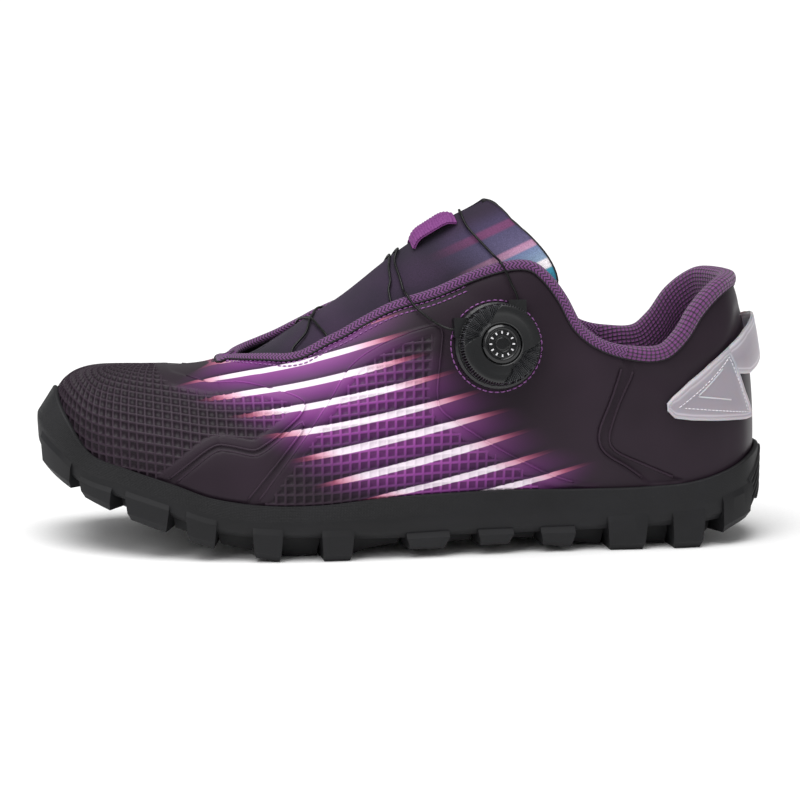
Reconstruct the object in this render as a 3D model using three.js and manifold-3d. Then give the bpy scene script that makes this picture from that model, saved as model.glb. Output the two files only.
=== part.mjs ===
// Low-cut cycling shoe for the left foot, closed by a cord dial.
// Millimetres. X runs from the toe (-) to the heel (+), -Y is the lateral side with the dial, Z is up and the
// floor is z = 0.
import * as THREE from 'three';
import { mergeVertices } from 'three/addons/utils/BufferGeometryUtils.js';
import Module from 'manifold-3d';

const wasm = await Module();
wasm.setup();

// Driving dimensions
const LENGTH = 290; // toe bumper to heel bumper
const WIDTH = 104; // sole across the ball
const INSTEP_HEIGHT = 140; // last's crown under the top of the tongue, above the floor
const WALL_HEIGHT = 25; // top edge of the sole's side wall at the waist
const UPPER_WALL = 2.2;
const TONGUE_WALL = 3;
const INSOLE_THICKNESS = 4;
const SOLE_LIP = 1.8; // thickness of the sole's side wall at its top edge
const GAP = 0.3; // clearance between pieces that touch
const HALF_WIDTH = WIDTH / 2;

// Sections of the sole from toe to heel. at is a share of LENGTH from the toe tip. lateral, medial and inset are
// shares of HALF_WIDTH. rim (top of the side wall), floor (inside of the sole), ground (sole between its lugs) and
// tread (lug tips, which the floor cuts flat) are shares of WALL_HEIGHT.
const SOLE_SECTIONS = [
  { at: 0.000, lateral: -0.155, medial: 0.155, inset: 0.145, rim: 2.36, floor: 1.76, ground: 1.50, tread: 1.40 },
  { at: 0.003, lateral: 0.090, medial: 0.390, inset: 0.142, rim: 2.30, floor: 1.70, ground: 1.40, tread: 1.28 },
  { at: 0.025, lateral: 0.356, medial: 0.600, inset: 0.130, rim: 2.00, floor: 1.50, ground: 1.22, tread: 1.08 },
  { at: 0.061, lateral: 0.570, medial: 0.750, inset: 0.110, rim: 1.54, floor: 1.18, ground: 1.02, tread: 0.86 },
  { at: 0.113, lateral: 0.750, medial: 0.868, inset: 0.095, rim: 1.36, floor: 0.98, ground: 0.88, tread: 0.62 },
  { at: 0.172, lateral: 0.866, medial: 0.942, inset: 0.086, rim: 1.17, floor: 0.80, ground: 0.66, tread: 0.40 },
  { at: 0.227, lateral: 0.942, medial: 0.980, inset: 0.080, rim: 0.97, floor: 0.66, ground: 0.44, tread: 0.20 },
  { at: 0.297, lateral: 0.992, medial: 1.000, inset: 0.076, rim: 0.87, floor: 0.57, ground: 0.36, tread: 0.04 },
  { at: 0.373, lateral: 0.992, medial: 0.952, inset: 0.074, rim: 0.87, floor: 0.55, ground: 0.35, tread: -0.12 },
  { at: 0.461, lateral: 0.938, medial: 0.836, inset: 0.073, rim: 0.96, floor: 0.60, ground: 0.31, tread: 0.12 },
  { at: 0.551, lateral: 0.850, medial: 0.712, inset: 0.072, rim: 1.00, floor: 0.67, ground: 0.32, tread: 0.13 },
  { at: 0.642, lateral: 0.769, medial: 0.640, inset: 0.070, rim: 1.01, floor: 0.71, ground: 0.31, tread: 0.15 },
  { at: 0.736, lateral: 0.708, medial: 0.625, inset: 0.068, rim: 0.99, floor: 0.74, ground: 0.32, tread: 0.04 },
  { at: 0.815, lateral: 0.677, medial: 0.654, inset: 0.065, rim: 1.00, floor: 0.76, ground: 0.34, tread: -0.12 },
  { at: 0.885, lateral: 0.640, medial: 0.669, inset: 0.062, rim: 1.06, floor: 0.78, ground: 0.37, tread: -0.12 },
  { at: 0.940, lateral: 0.540, medial: 0.606, inset: 0.058, rim: 1.22, floor: 0.82, ground: 0.44, tread: 0.24 },
  { at: 0.979, lateral: 0.356, medial: 0.433, inset: 0.056, rim: 1.42, floor: 0.88, ground: 0.58, tread: 0.42 },
  { at: 1.000, lateral: -0.038, medial: 0.038, inset: 0.055, rim: 1.50, floor: 0.94, ground: 0.74, tread: 0.60 },
];

// The last over the same sections. crownAt is a share of LENGTH, crown of INSTEP_HEIGHT, crownSide and belly of
// HALF_WIDTH. full is the exponent of a section's shoulder: under 1 is squarer, over 1 more pointed.
const LAST_SECTIONS = [
  { crownAt: 0.104, crown: 0.482, crownSide: 0.155, belly: 0.045, full: 0.58 },
  { crownAt: 0.106, crown: 0.483, crownSide: 0.155, belly: 0.045, full: 0.58 },
  { crownAt: 0.114, crown: 0.484, crownSide: 0.155, belly: 0.045, full: 0.60 },
  { crownAt: 0.132, crown: 0.484, crownSide: 0.152, belly: 0.045, full: 0.64 },
  { crownAt: 0.160, crown: 0.484, crownSide: 0.145, belly: 0.045, full: 0.72 },
  { crownAt: 0.198, crown: 0.487, crownSide: 0.135, belly: 0.042, full: 0.80 },
  { crownAt: 0.240, crown: 0.502, crownSide: 0.115, belly: 0.040, full: 0.88 },
  { crownAt: 0.289, crown: 0.552, crownSide: 0.095, belly: 0.038, full: 0.94 },
  { crownAt: 0.342, crown: 0.626, crownSide: 0.085, belly: 0.036, full: 0.92 },
  { crownAt: 0.405, crown: 0.712, crownSide: 0.075, belly: 0.032, full: 0.88 },
  { crownAt: 0.474, crown: 0.828, crownSide: 0.065, belly: 0.030, full: 0.78 },
  { crownAt: 0.539, crown: 0.922, crownSide: 0.055, belly: 0.032, full: 0.74 },
  { crownAt: 0.602, crown: 1.000, crownSide: 0.048, belly: 0.040, full: 0.74 },
  { crownAt: 0.647, crown: 1.125, crownSide: 0.040, belly: 0.050, full: 0.88 },
  { crownAt: 0.677, crown: 1.205, crownSide: 0.038, belly: 0.066, full: 1.02 },
  { crownAt: 0.697, crown: 1.235, crownSide: 0.038, belly: 0.066, full: 1.02 },
  { crownAt: 0.705, crown: 1.245, crownSide: 0.038, belly: 0.066, full: 1.02 },
  { crownAt: 0.707, crown: 1.250, crownSide: 0.038, belly: 0.066, full: 1.02 },
];

// Edge of the upper along throat and collar, seen from the side. at is a share of LENGTH, and the edge's height on
// either side a share of INSTEP_HEIGHT. The first row is the front end of the throat.
const EDGE = [
  { at: 0.246, lateral: 0.505, medial: 0.505 },
  { at: 0.263, lateral: 0.518, medial: 0.522 },
  { at: 0.304, lateral: 0.530, medial: 0.545 },
  { at: 0.330, lateral: 0.534, medial: 0.563 },
  { at: 0.352, lateral: 0.545, medial: 0.585 },
  { at: 0.369, lateral: 0.562, medial: 0.603 },
  { at: 0.383, lateral: 0.578, medial: 0.620 },
  { at: 0.410, lateral: 0.605, medial: 0.645 },
  { at: 0.437, lateral: 0.637, medial: 0.668 },
  { at: 0.477, lateral: 0.679, medial: 0.706 },
  { at: 0.530, lateral: 0.715, medial: 0.745 },
  { at: 0.585, lateral: 0.763, medial: 0.782 },
  { at: 0.625, lateral: 0.787, medial: 0.797 },
  { at: 0.659, lateral: 0.789, medial: 0.792 },
  { at: 0.679, lateral: 0.758, medial: 0.765 },
  { at: 0.699, lateral: 0.703, medial: 0.712 },
  { at: 0.719, lateral: 0.628, medial: 0.642 },
  { at: 0.753, lateral: 0.573, medial: 0.578 },
  { at: 0.802, lateral: 0.545, medial: 0.549 },
  { at: 0.843, lateral: 0.549, medial: 0.551 },
  { at: 0.871, lateral: 0.599, medial: 0.600 },
  { at: 0.893, lateral: 0.665, medial: 0.668 },
  { at: 0.925, lateral: 0.722, medial: 0.724 },
  { at: 0.950, lateral: 0.736, medial: 0.736 },
  { at: 1.000, lateral: 0.738, medial: 0.738 },
];

// Value of a table's column at a place, along a smooth curve through its rows.
function along(table, key, place, column) {
  let i = table.findIndex((row) => row[key] > place) - 1;
  if (i < -1) i = table.length - 2;
  i = Math.max(0, Math.min(i, table.length - 2));
  const [a, b] = [table[i], table[i + 1]];
  const span = b[key] - a[key];
  const slopeAt = (k) => {
    const low = table[Math.max(0, k - 1)];
    const high = table[Math.min(table.length - 1, k + 1)];
    return (high[column] - low[column]) / (high[key] - low[key]);
  };
  const t = (place - a[key]) / span;
  const [t2, t3] = [t * t, t * t * t];
  return (2 * t3 - 3 * t2 + 1) * a[column] + (t3 - 2 * t2 + t) * span * slopeAt(i)
    + (3 * t2 - 2 * t3) * b[column] + (t3 - t2) * span * slopeAt(i + 1);
}

// Ribs run up the last from the sole to the crown. Rib 0 is the toe tip, HEEL the heel tip. Lateral ribs lie
// between them, and medial ribs come back from HEEL to 2 * HEEL.
const HEEL = SOLE_SECTIONS.length - 1;
const COLUMNS = [
  'x', 'y', 'inset', 'rim', 'floor', 'ground', 'tread', 'crownX', 'crownY', 'crownZ', 'belly', 'full',
];
const wrap = (u) => ((u % (2 * HEEL)) + 2 * HEEL) % (2 * HEEL);
const sized = SOLE_SECTIONS.map((section, i) => ({ ...section, ...LAST_SECTIONS[i] })).map((row) => ({
  x: (row.at - 0.5) * LENGTH,
  lateral: -row.lateral * HALF_WIDTH,
  medial: row.medial * HALF_WIDTH,
  inset: row.inset * HALF_WIDTH,
  rim: row.rim * WALL_HEIGHT,
  floor: row.floor * WALL_HEIGHT,
  ground: row.ground * WALL_HEIGHT,
  tread: row.tread * WALL_HEIGHT,
  crownX: (row.crownAt - 0.5) * LENGTH,
  crownY: row.crownSide * HALF_WIDTH,
  crownZ: row.crown * INSTEP_HEIGHT,
  belly: row.belly * HALF_WIDTH,
  full: row.full,
}));
function ribRow(index) {
  const i = wrap(index);
  const lateral = i <= HEEL;
  const row = sized[lateral ? i : 2 * HEEL - i];
  return { ...row, y: lateral ? row.lateral : row.medial };
}
function rib(u) {
  const i = Math.floor(u);
  const t = u - i;
  const rows = [i - 1, i, i + 1, i + 2].map(ribRow);
  const made = {};
  for (const key of COLUMNS) {
    const [a, b, c, d] = rows.map((row) => row[key]);
    made[key] = b + 0.5 * t * (c - a + t * (2 * a - 5 * b + 4 * c - d + t * (3 * (b - c) + d - a)));
  }
  return made;
}

// Outward direction of the sole's outline at a rib, level with the floor.
function outwards(u) {
  const step = 0.01;
  const [a, b] = [rib(u - step), rib(u + step)];
  return new THREE.Vector3(b.y - a.y, a.x - b.x, 0).normalize();
}
const QUARTER = Math.PI / 2;

// Point of the upper's outer skin on rib u, phi radians up from the sole: QUARTER is the crown.
function skin(u, phi) {
  const r = rib(u);
  const out = outwards(u);
  const rise = 1 - Math.max(0, Math.cos(phi)) ** r.full;
  const foot = new THREE.Vector3(r.x, r.y, r.floor + GAP).addScaledVector(out, -r.inset);
  const bulge = r.belly * Math.sin(2 * phi) * Math.cos(phi);
  return new THREE.Vector3(
    foot.x + (r.crownX - foot.x) * rise,
    foot.y + (r.crownY - foot.y) * rise,
    foot.z + (r.crownZ - foot.z) * Math.sin(phi),
  ).addScaledVector(out, bulge);
}
function skinFrame(u, phi) {
  const step = 0.01;
  const point = skin(u, phi);
  const across = skin(u + step, phi).sub(skin(u - step, phi)).normalize();
  const rate = skin(u, phi + step).sub(skin(u, phi - step)).divideScalar(2 * step);
  const up = rate.clone().normalize();
  return { point, up, speed: rate.length(), normal: new THREE.Vector3().crossVectors(across, up).normalize() };
}

// Bisection for where a rising condition turns true.
function turningPoint(low, high, isPast) {
  for (let i = 0; i < 40; i += 1) {
    const middle = (low + high) / 2;
    if (isPast(middle)) high = middle;
    else low = middle;
  }
  return high;
}
const isMedial = (u) => wrap(u) > HEEL;
function edgeHeight(u, x) {
  const at = x / LENGTH + 0.5;
  if (at < EDGE[0].at) return Infinity;
  return along(EDGE, 'at', at, isMedial(u) ? 'medial' : 'lateral') * INSTEP_HEIGHT;
}
// How far up a rib the upper reaches: the crown over the vamp, or the edge of throat and collar.
function edgePhi(u) {
  const isOver = (phi) => {
    const p = skin(u, phi);
    return p.z > edgeHeight(u, p.x);
  };
  const steps = 90;
  for (let i = 1; i <= steps; i += 1) {
    const phi = (i / steps) * QUARTER;
    if (isOver(phi)) return turningPoint(phi - QUARTER / steps, phi, isOver);
  }
  return QUARTER;
}
const THROAT_FRONT = turningPoint(4, 9, (u) => rib(u).crownX > (EDGE[0].at - 0.5) * LENGTH);
// The lateral rib whose edge lies at a place along the shoe.
const ribAtEdge = (x) => turningPoint(THROAT_FRONT, HEEL, (u) => skin(u, edgePhi(u)).x > x);
// The lateral rib that starts at a place along the sole.
const ribAtFoot = (x) => turningPoint(0, HEEL, (u) => rib(u).x > x);

// Surface over a grid of points; closed joins the last row of points to the first, welded joins points that meet.
function surface(grid, closed, welded) {
  const rows = grid.length;
  const size = grid[0].length;
  const index = [];
  for (let i = 0; i < (closed ? rows : rows - 1); i += 1) {
    for (let j = 0; j < size - 1; j += 1) {
      const a = i * size + j;
      const b = ((i + 1) % rows) * size + j;
      index.push(a, b, b + 1, a, b + 1, a + 1);
    }
  }
  const made = new THREE.BufferGeometry();
  made.setAttribute('position', new THREE.Float32BufferAttribute(grid.flat().flatMap((p) => [p.x, p.y, p.z]), 3));
  made.setIndex(index);
  return welded ? mergeVertices(made, 1e-3) : made;
}

// Solid between two offsets of an open surface, measured outwards along its normals.
function thicken(geometry, inner, outer) {
  geometry.computeVertexNormals();
  const { position, normal } = geometry.attributes;
  const count = position.count;
  const points = [];
  for (const offset of [outer, inner]) {
    for (let i = 0; i < count; i += 1) {
      const n = new THREE.Vector3().fromBufferAttribute(normal, i);
      const p = new THREE.Vector3().fromBufferAttribute(position, i).addScaledVector(n, offset);
      points.push(p.x, p.y, p.z);
    }
  }
  const faces = Array.from(geometry.index.array);
  const index = [...faces];
  const open = new Map();
  for (let i = 0; i < faces.length; i += 3) {
    const [a, b, c] = faces.slice(i, i + 3);
    index.push(a + count, c + count, b + count);
    for (const [p, q] of [[a, b], [b, c], [c, a]]) {
      if (!open.delete(`${q},${p}`)) open.set(`${p},${q}`, [p, q]);
    }
  }
  for (const [p, q] of open.values()) index.push(q, p, p + count, q, p + count, q + count);
  const made = new THREE.BufferGeometry();
  made.setAttribute('position', new THREE.Float32BufferAttribute(points, 3));
  made.setIndex(index);
  return made;
}

// Section swept through rings of points: round a loop, or closed at its two ends by fans.
function sweep(rings, looped = false) {
  const size = rings[0].length;
  const points = rings.flat();
  const index = [];
  for (let i = 0; i < (looped ? rings.length : rings.length - 1); i += 1) {
    const next = ((i + 1) % rings.length) * size;
    for (let j = 0; j < size; j += 1) {
      const [a, b] = [j, (j + 1) % size];
      index.push(i * size + a, i * size + b, next + b, i * size + a, next + b, next + a);
    }
  }
  const fan = (start, flip) => {
    for (let j = 1; j < size - 1; j += 1) {
      index.push(...(flip ? [start, start + j, start + j + 1] : [start, start + j + 1, start + j]));
    }
  };
  if (!looped) {
    fan(0, false);
    fan((rings.length - 1) * size, true);
  }
  const made = new THREE.BufferGeometry();
  made.setAttribute('position', new THREE.Float32BufferAttribute(points.flatMap((p) => [p.x, p.y, p.z]), 3));
  made.setIndex(index);
  return made;
}

function solidOf(geometry) {
  const bare = geometry.clone();
  for (const name of Object.keys(bare.attributes)) if (name !== 'position') bare.deleteAttribute(name);
  const merged = mergeVertices(bare, 1e-4);
  const made = new wasm.Manifold(new wasm.Mesh({
    numProp: 3,
    vertProperties: merged.attributes.position.array,
    triVerts: new Uint32Array(merged.index.array),
  }));
  if (made.volume() > 0) return made;
  const turned = Uint32Array.from(merged.index.array);
  for (let i = 0; i < turned.length; i += 3) [turned[i + 1], turned[i + 2]] = [turned[i + 2], turned[i + 1]];
  const { array } = merged.attributes.position;
  return new wasm.Manifold(new wasm.Mesh({ numProp: 3, vertProperties: array, triVerts: turned }));
}
function geometryOf(solid) {
  const mesh = solid.getMesh();
  const points = [];
  for (let i = 0; i < mesh.vertProperties.length; i += mesh.numProp) {
    points.push(...mesh.vertProperties.slice(i, i + 3));
  }
  const made = new THREE.BufferGeometry();
  made.setAttribute('position', new THREE.Float32BufferAttribute(points, 3));
  made.setIndex(Array.from(mesh.triVerts));
  return made;
}
// Union of solids as one body, without short edges or the specks left where faces nearly coincide.
function joined(solids) {
  const union = solids.reduce((a, b) => a.add(b));
  const bodies = solidOf(geometryOf(union)).simplify(0.08).decompose();
  return bodies.reduce((a, b) => (b.volume() > a.volume() ? b : a));
}

// Side-view outline as a slab through one side of the shoe, from the middle plane outwards.
const SLAB = 1.2 * HALF_WIDTH;
function sideSlab(outline, side) {
  const shape = new THREE.Shape(outline.map(([x, z]) => new THREE.Vector2(x, z)));
  const made = new THREE.ExtrudeGeometry(shape, { depth: SLAB, bevelEnabled: false, curveSegments: 6 });
  made.rotateX(QUARTER);
  made.translate(0, side < 0 ? 0 : SLAB, 0);
  return solidOf(made);
}

// Stations round the shoe at even steps along the outline, from the toe tip past the lateral side and back.
const ROUND_STEPS = 64;
const outlineLength = (() => {
  const fine = 40 * HEEL;
  const reached = [0];
  for (let i = 1; i <= fine; i += 1) {
    const [a, b] = [rib(((i - 1) / fine) * HEEL), rib((i / fine) * HEEL)];
    reached.push(reached[i - 1] + Math.hypot(b.x - a.x, b.y - a.y));
  }
  return reached;
})();
const lateralStations = Array.from({ length: ROUND_STEPS / 2 + 1 }, (_, i) => {
  const fine = outlineLength.length - 1;
  const goal = (i / (ROUND_STEPS / 2)) * outlineLength[fine];
  const k = Math.max(1, outlineLength.findIndex((reach) => reach >= goal - 1e-9));
  const part = (goal - outlineLength[k - 1]) / (outlineLength[k] - outlineLength[k - 1]);
  return ((k - 1 + part) / fine) * HEEL;
});
const THROAT_STATIONS = [0, 0.02, 0.08, 0.2, 0.4]; // closer ones where the throat rounds its front end
const there = [
  ...lateralStations.filter((u) => u < THROAT_FRONT - 0.15 || u > THROAT_FRONT + 0.55),
  ...THROAT_STATIONS.map((step) => THROAT_FRONT + step),
].sort((a, b) => a - b);
const round = [...there, ...there.slice(1, -1).reverse().map((u) => 2 * HEEL - u)];

// Closes a ring of points across the shoe, each lateral point to the medial one opposite.
function acrossFaces(count, size, level, flip) {
  const faces = [];
  const at = (i) => ((i + count) % count) * size + level;
  for (let i = 0; i < count / 2; i += 1) {
    const [a, b, c, d] = [at(i), at(i + 1), at(-i - 1), at(-i)];
    if (b !== c) faces.push(...(flip ? [a, c, b] : [a, b, c]));
    if (a !== d) faces.push(...(flip ? [a, d, c] : [a, c, d]));
  }
  return faces;
}
// Solid from a grid of stations round the shoe; each section runs from the underside up the outside and over.
function roundSolid(grid) {
  const size = grid[0].length;
  const made = surface(grid, true, false);
  const faces = [
    ...made.index.array,
    ...acrossFaces(grid.length, size, 0, true),
    ...acrossFaces(grid.length, size, size - 1, false),
  ];
  made.setIndex(faces);
  return solidOf(made);
}

// Upper
const UPPER_LEVELS = 9;
const tops = round.map(edgePhi);
// The skin as a surface, carried on below the foot of the upper or stopped short of its edge by so much.
const skinSurface = (below = 0, short = 0) => surface(round.map((u, i) => {
  const r = rib(u);
  const foot = -below / (r.crownZ - r.floor);
  const top = tops[i] < QUARTER ? tops[i] - short / skinFrame(u, tops[i]).speed : QUARTER;
  return Array.from({ length: UPPER_LEVELS + 1 }, (_, j) => skin(u, foot + (j / UPPER_LEVELS) * (top - foot)));
}), true, true);
const rimPhi = (u) => {
  const r = rib(u);
  return Math.asin((r.rim - r.floor - GAP) / (r.crownZ - r.floor - GAP));
};

// Raised panels of the moulded upper and the channel sunk behind the ankle, in the side view. Points are shares
// of LENGTH and of INSTEP_HEIGHT.
const PANEL_STEP = 0.7;
const TOE_PANEL = [
  [-0.029, 0.20], [-0.029, 0.60], [0.158, 0.60], [0.170, 0.484], [0.204, 0.473], [0.231, 0.462], [0.271, 0.472],
  [0.306, 0.462], [0.335, 0.449], [0.351, 0.434], [0.353, 0.422], [0.344, 0.392], [0.316, 0.343], [0.294, 0.312],
  [0.283, 0.301], [0.256, 0.312], [0.231, 0.318], [0.174, 0.226], [0.120, 0.130],
];
const WING_PANEL = [
  [0.134, 0.120], [0.180, 0.212], [0.233, 0.303], [0.256, 0.298], [0.284, 0.286], [0.297, 0.298], [0.322, 0.339],
  [0.349, 0.384], [0.350, 0.362], [0.314, 0.271], [0.271, 0.163], [0.250, 0.100],
];
const MID_PANEL = [
  [0.262, 0.100], [0.289, 0.168], [0.318, 0.250], [0.348, 0.330], [0.371, 0.395], [0.389, 0.447], [0.409, 0.514],
  [0.430, 0.551], [0.465, 0.592], [0.500, 0.620], [0.530, 0.638], [0.539, 0.622], [0.534, 0.545], [0.529, 0.470],
  [0.530, 0.418], [0.542, 0.390], [0.616, 0.291], [0.700, 0.201], [0.784, 0.170], [0.784, 0.060], [0.262, 0.060],
];
const HEEL_CHANNEL = [
  [0.786, 0.600], [0.786, 0.539], [0.781, 0.500], [0.769, 0.422], [0.753, 0.343], [0.753, 0.301], [0.764, 0.270],
  [0.800, 0.228], [0.846, 0.150], [0.886, 0.150], [0.880, 0.185], [0.849, 0.211], [0.811, 0.245], [0.778, 0.275],
  [0.767, 0.301], [0.767, 0.333], [0.779, 0.413], [0.797, 0.491], [0.802, 0.539], [0.802, 0.600],
];
const sideView = (outline) => outline.map(([at, high]) => [(at - 0.5) * LENGTH, high * INSTEP_HEIGHT]);
const lipBand = solidOf(thicken(surface(round.map((u) => {
  const perMm = 1 / (rib(u).crownZ - rib(u).floor);
  const top = rimPhi(u) + 1.5 * perMm;
  return [-3 * perMm, 0, 0.5 * top, top].map((phi) => skin(u, phi));
}), true, true), -4, 4));
const raisedSkin = solidOf(thicken(skinSurface(0, 1), -UPPER_WALL / 2, PANEL_STEP)).subtract(lipBand);
const sunkSkin = solidOf(thicken(skinSurface(0, -1), -PANEL_STEP, 2)).subtract(lipBand);
const SIDES = [-1, 1];
const panels = SIDES.flatMap((side) => [MID_PANEL, WING_PANEL, TOE_PANEL].map((outline) => (
  raisedSkin.intersect(sideSlab(sideView(outline), side))
)));
const channels = SIDES.map((side) => sunkSkin.intersect(sideSlab(sideView(HEEL_CHANNEL), side)));
const plainUpper = solidOf(thicken(skinSurface(), -UPPER_WALL, 0));
const upperBody = joined([channels.reduce((body, cut) => body.subtract(cut), joined([plainUpper, ...panels]))]);

// Sole: a rubber cup from the underside round its wall to the lip, then down inside it to the floor.
function besideSole(u, offset, z) {
  const r = rib(u);
  return new THREE.Vector3(r.x, r.y, 0).addScaledVector(outwards(u), offset).setZ(z);
}
function offSkin(u, phi, offset) {
  const frame = skinFrame(u, phi);
  return frame.point.addScaledVector(frame.normal, offset);
}
const EDGE_ROUNDING = 3.2; // from the widest line of the wall in to the flat underside
const solePart = roundSolid(round.map((u) => {
  const r = rib(u);
  const top = rimPhi(u);
  const deep = r.rim - r.ground;
  return [
    besideSole(u, -EDGE_ROUNDING, r.ground),
    besideSole(u, -0.4, r.ground + 0.16 * deep),
    besideSole(u, 0, r.ground + 0.50 * deep),
    offSkin(u, top, GAP + SOLE_LIP),
    offSkin(u, top, GAP),
    offSkin(u, 0.6 * top, GAP),
    besideSole(u, -r.inset + GAP, r.floor),
  ];
}));

// Lugs stand on both edges of the sole. from and to are shares of LENGTH, climb is how much of the wall a lug's
// outer face covers, reach is how far it goes in under the shoe, as a share of HALF_WIDTH.
const LUGS = [
  { from: 0.003, to: 0.041, climb: 0.80, reach: 0.30 },
  { from: 0.055, to: 0.096, climb: 0.36, reach: 0.30 },
  { from: 0.114, to: 0.171, climb: 0.46, reach: 0.34 },
  { from: 0.193, to: 0.233, climb: 0.52, reach: 0.42 },
  { from: 0.280, to: 0.320, climb: 0.42, reach: 0.46 },
  { from: 0.372, to: 0.415, climb: 0.34, reach: 0.46 },
  { from: 0.487, to: 0.546, climb: 0.10, reach: 0.24 },
  { from: 0.586, to: 0.635, climb: 0.10, reach: 0.24 },
  { from: 0.673, to: 0.721, climb: 0.10, reach: 0.28 },
  { from: 0.766, to: 0.822, climb: 0.44, reach: 0.44 },
  { from: 0.857, to: 0.903, climb: 0.44, reach: 0.44 },
  { from: 0.929, to: 0.976, climb: 0.60, reach: 0.36 },
];
const LUG_PROUD = 1.1; // a lug's outer face stands this far off the wall
const LUG_TUCK = 2.2; // its tip is this much narrower at the foot, over this height
const LUG_ROOT = 1.2; // its root lies this deep in the sole
const LUG_STEPS = 3;
function lug({ from, to, climb, reach }, side) {
  const [start, end] = [from, to].map((at) => ribAtFoot((at - 0.5) * LENGTH));
  const rings = Array.from({ length: LUG_STEPS + 1 }, (_, i) => {
    const place = start + (end - start) * (i / LUG_STEPS);
    const u = side < 0 ? place : 2 * HEEL - place;
    const r = rib(u);
    const low = Math.max(0, r.tread);
    const high = r.ground + climb * (r.rim - r.ground);
    return [
      besideSole(u, -reach * HALF_WIDTH, low),
      besideSole(u, LUG_PROUD - 0.6 * LUG_TUCK, low),
      besideSole(u, LUG_PROUD, low + LUG_TUCK),
      besideSole(u, LUG_PROUD, high),
      besideSole(u, -LUG_ROOT, high + LUG_ROOT),
      besideSole(u, -2 * LUG_ROOT, r.ground + LUG_ROOT),
      besideSole(u, -reach * HALF_WIDTH + LUG_ROOT, r.ground + 0.7 * LUG_ROOT),
    ];
  });
  return solidOf(sweep(rings));
}
const lugs = LUGS.flatMap((row) => [lug(row, -1), lug(row, 1)]);
const upperRoom = solidOf(thicken(skinSurface(GAP, -0.8 * GAP), -UPPER_WALL - 0.8 * GAP, 0.8 * GAP));
const clearOfUpper = (solid) => joined([solid.subtract(upperRoom)]);
const outsole = clearOfUpper(joined([solePart, ...lugs]));

// Insole, cupped a little round the heel
const insoleEdge = (u) => rib(u).inset + UPPER_WALL + 2 * GAP;
const insole = roundSolid(round.filter((_, i) => i % 2 === 0).map((u) => {
  const { floor } = rib(u);
  const edge = insoleEdge(u);
  return [
    besideSole(u, -edge - 1, floor + GAP),
    besideSole(u, -edge, floor + GAP + 0.8),
    besideSole(u, -edge, floor + INSOLE_THICKNESS + 1),
    besideSole(u, -edge - 1.2, floor + INSOLE_THICKNESS + 1),
    besideSole(u, -edge - 7, floor + INSOLE_THICKNESS),
  ];
}));

// Tongue: follows the last under the throat, from its seam at the front to its free top edge.
const TONGUE_STEPS = 14;
const TONGUE_END = [11.72, 11.86, 11.93, 11.79, 11.69, 11.71, 11.77, 11.84]; // ribs of its edge, side to crown
const TONGUE_TUCK = 9; // how far its sides go in under the upper
const TONGUE_DROP = 1.4; // room for the cord between upper and tongue
const tongueFront = THROAT_FRONT - 0.28;
const tongueGrid = Array.from({ length: TONGUE_STEPS + 1 }, (_, i) => {
  const t = i / TONGUE_STEPS;
  const line = [];
  for (const side of [-1, 1]) {
    const row = TONGUE_END.map((end, j) => {
      const crownward = j / (TONGUE_END.length - 1);
      const place = tongueFront + (end - tongueFront) * t;
      const u = side < 0 ? place : 2 * HEEL - place;
      const top = edgePhi(u);
      const tuck = Math.min(TONGUE_TUCK, 2 + 60 * t) / skinFrame(u, 0.9 * top).speed;
      const start = Math.min(top, QUARTER - 0.02) - tuck;
      const phi = start + (QUARTER - start) * crownward;
      const drop = UPPER_WALL + GAP + TONGUE_DROP * Math.min(1, 5 * t);
      return offSkin(u, Math.min(phi, QUARTER - 0.02), -drop);
    });
    line.push(...(side < 0 ? row : row.reverse()));
  }
  return line;
});
const tongue = clearOfUpper(solidOf(thicken(surface(tongueGrid, false, true), -TONGUE_WALL, 0)));

// Collar lining: a knitted roll over the upper's edge that grows into padding inside the collar. n is measured out
// from the skin at its edge and rise across the edge into the opening, in millimetres.
const ROLL = [[0.5, 0.5], [0.8, 1.5], [0.3, 2.7], [-0.8, 3.2], [-1.8, 2.7], [-2.2, 1.5], [-2.0, 0.5], [-1.5, 0.4],
  [-0.9, 0.4], [-0.2, 0.4]];
const COLLAR_ROLL = [[0.5, 0.5], [1.0, 1.8], [0.2, 3.3], [-2.2, 4.1], [-5.4, 3.0]];
const PADDING = 5;
const PADDING_DEPTH = 24;
const PADDING_START = 12.25; // rib where the padding starts behind the tongue
const PADDING_FULL = 13.3;
const EDGE_STEPS = 28; // along each side of the throat and collar
const edgeCurve = Array.from({ length: 501 }, (_, i) => {
  const u = THROAT_FRONT + (HEEL - THROAT_FRONT) * (i / 500) ** 2;
  return { u, point: skin(u, edgePhi(u)) };
});
const edgeReach = edgeCurve.reduce((reach, { point }, i) => (
  [...reach, i ? reach[i - 1] + point.distanceTo(edgeCurve[i - 1].point) : 0]
), []);
const edgeRibs = Array.from({ length: EDGE_STEPS + 1 }, (_, i) => {
  const goal = (i / EDGE_STEPS) * edgeReach[500];
  return edgeCurve[edgeReach.findIndex((reach) => reach >= goal - 1e-9)].u;
});
const edgeLoop = [...edgeRibs, ...edgeRibs.slice(1, -1).reverse().map((u) => 2 * HEEL - u)];
const edgeFrames = edgeLoop.map((u, i) => {
  const [before, after] = [-1, 1].map((step) => edgeLoop[(i + step + edgeLoop.length) % edgeLoop.length]);
  const course = skin(after, edgePhi(after)).sub(skin(before, edgePhi(before))).normalize();
  const { normal } = skinFrame(u, Math.min(edgePhi(u), QUARTER - 0.05));
  const rise = new THREE.Vector3().crossVectors(normal, course).normalize();
  return { u, point: skin(u, edgePhi(u)), rise, normal: new THREE.Vector3().crossVectors(course, rise) };
});
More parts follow.
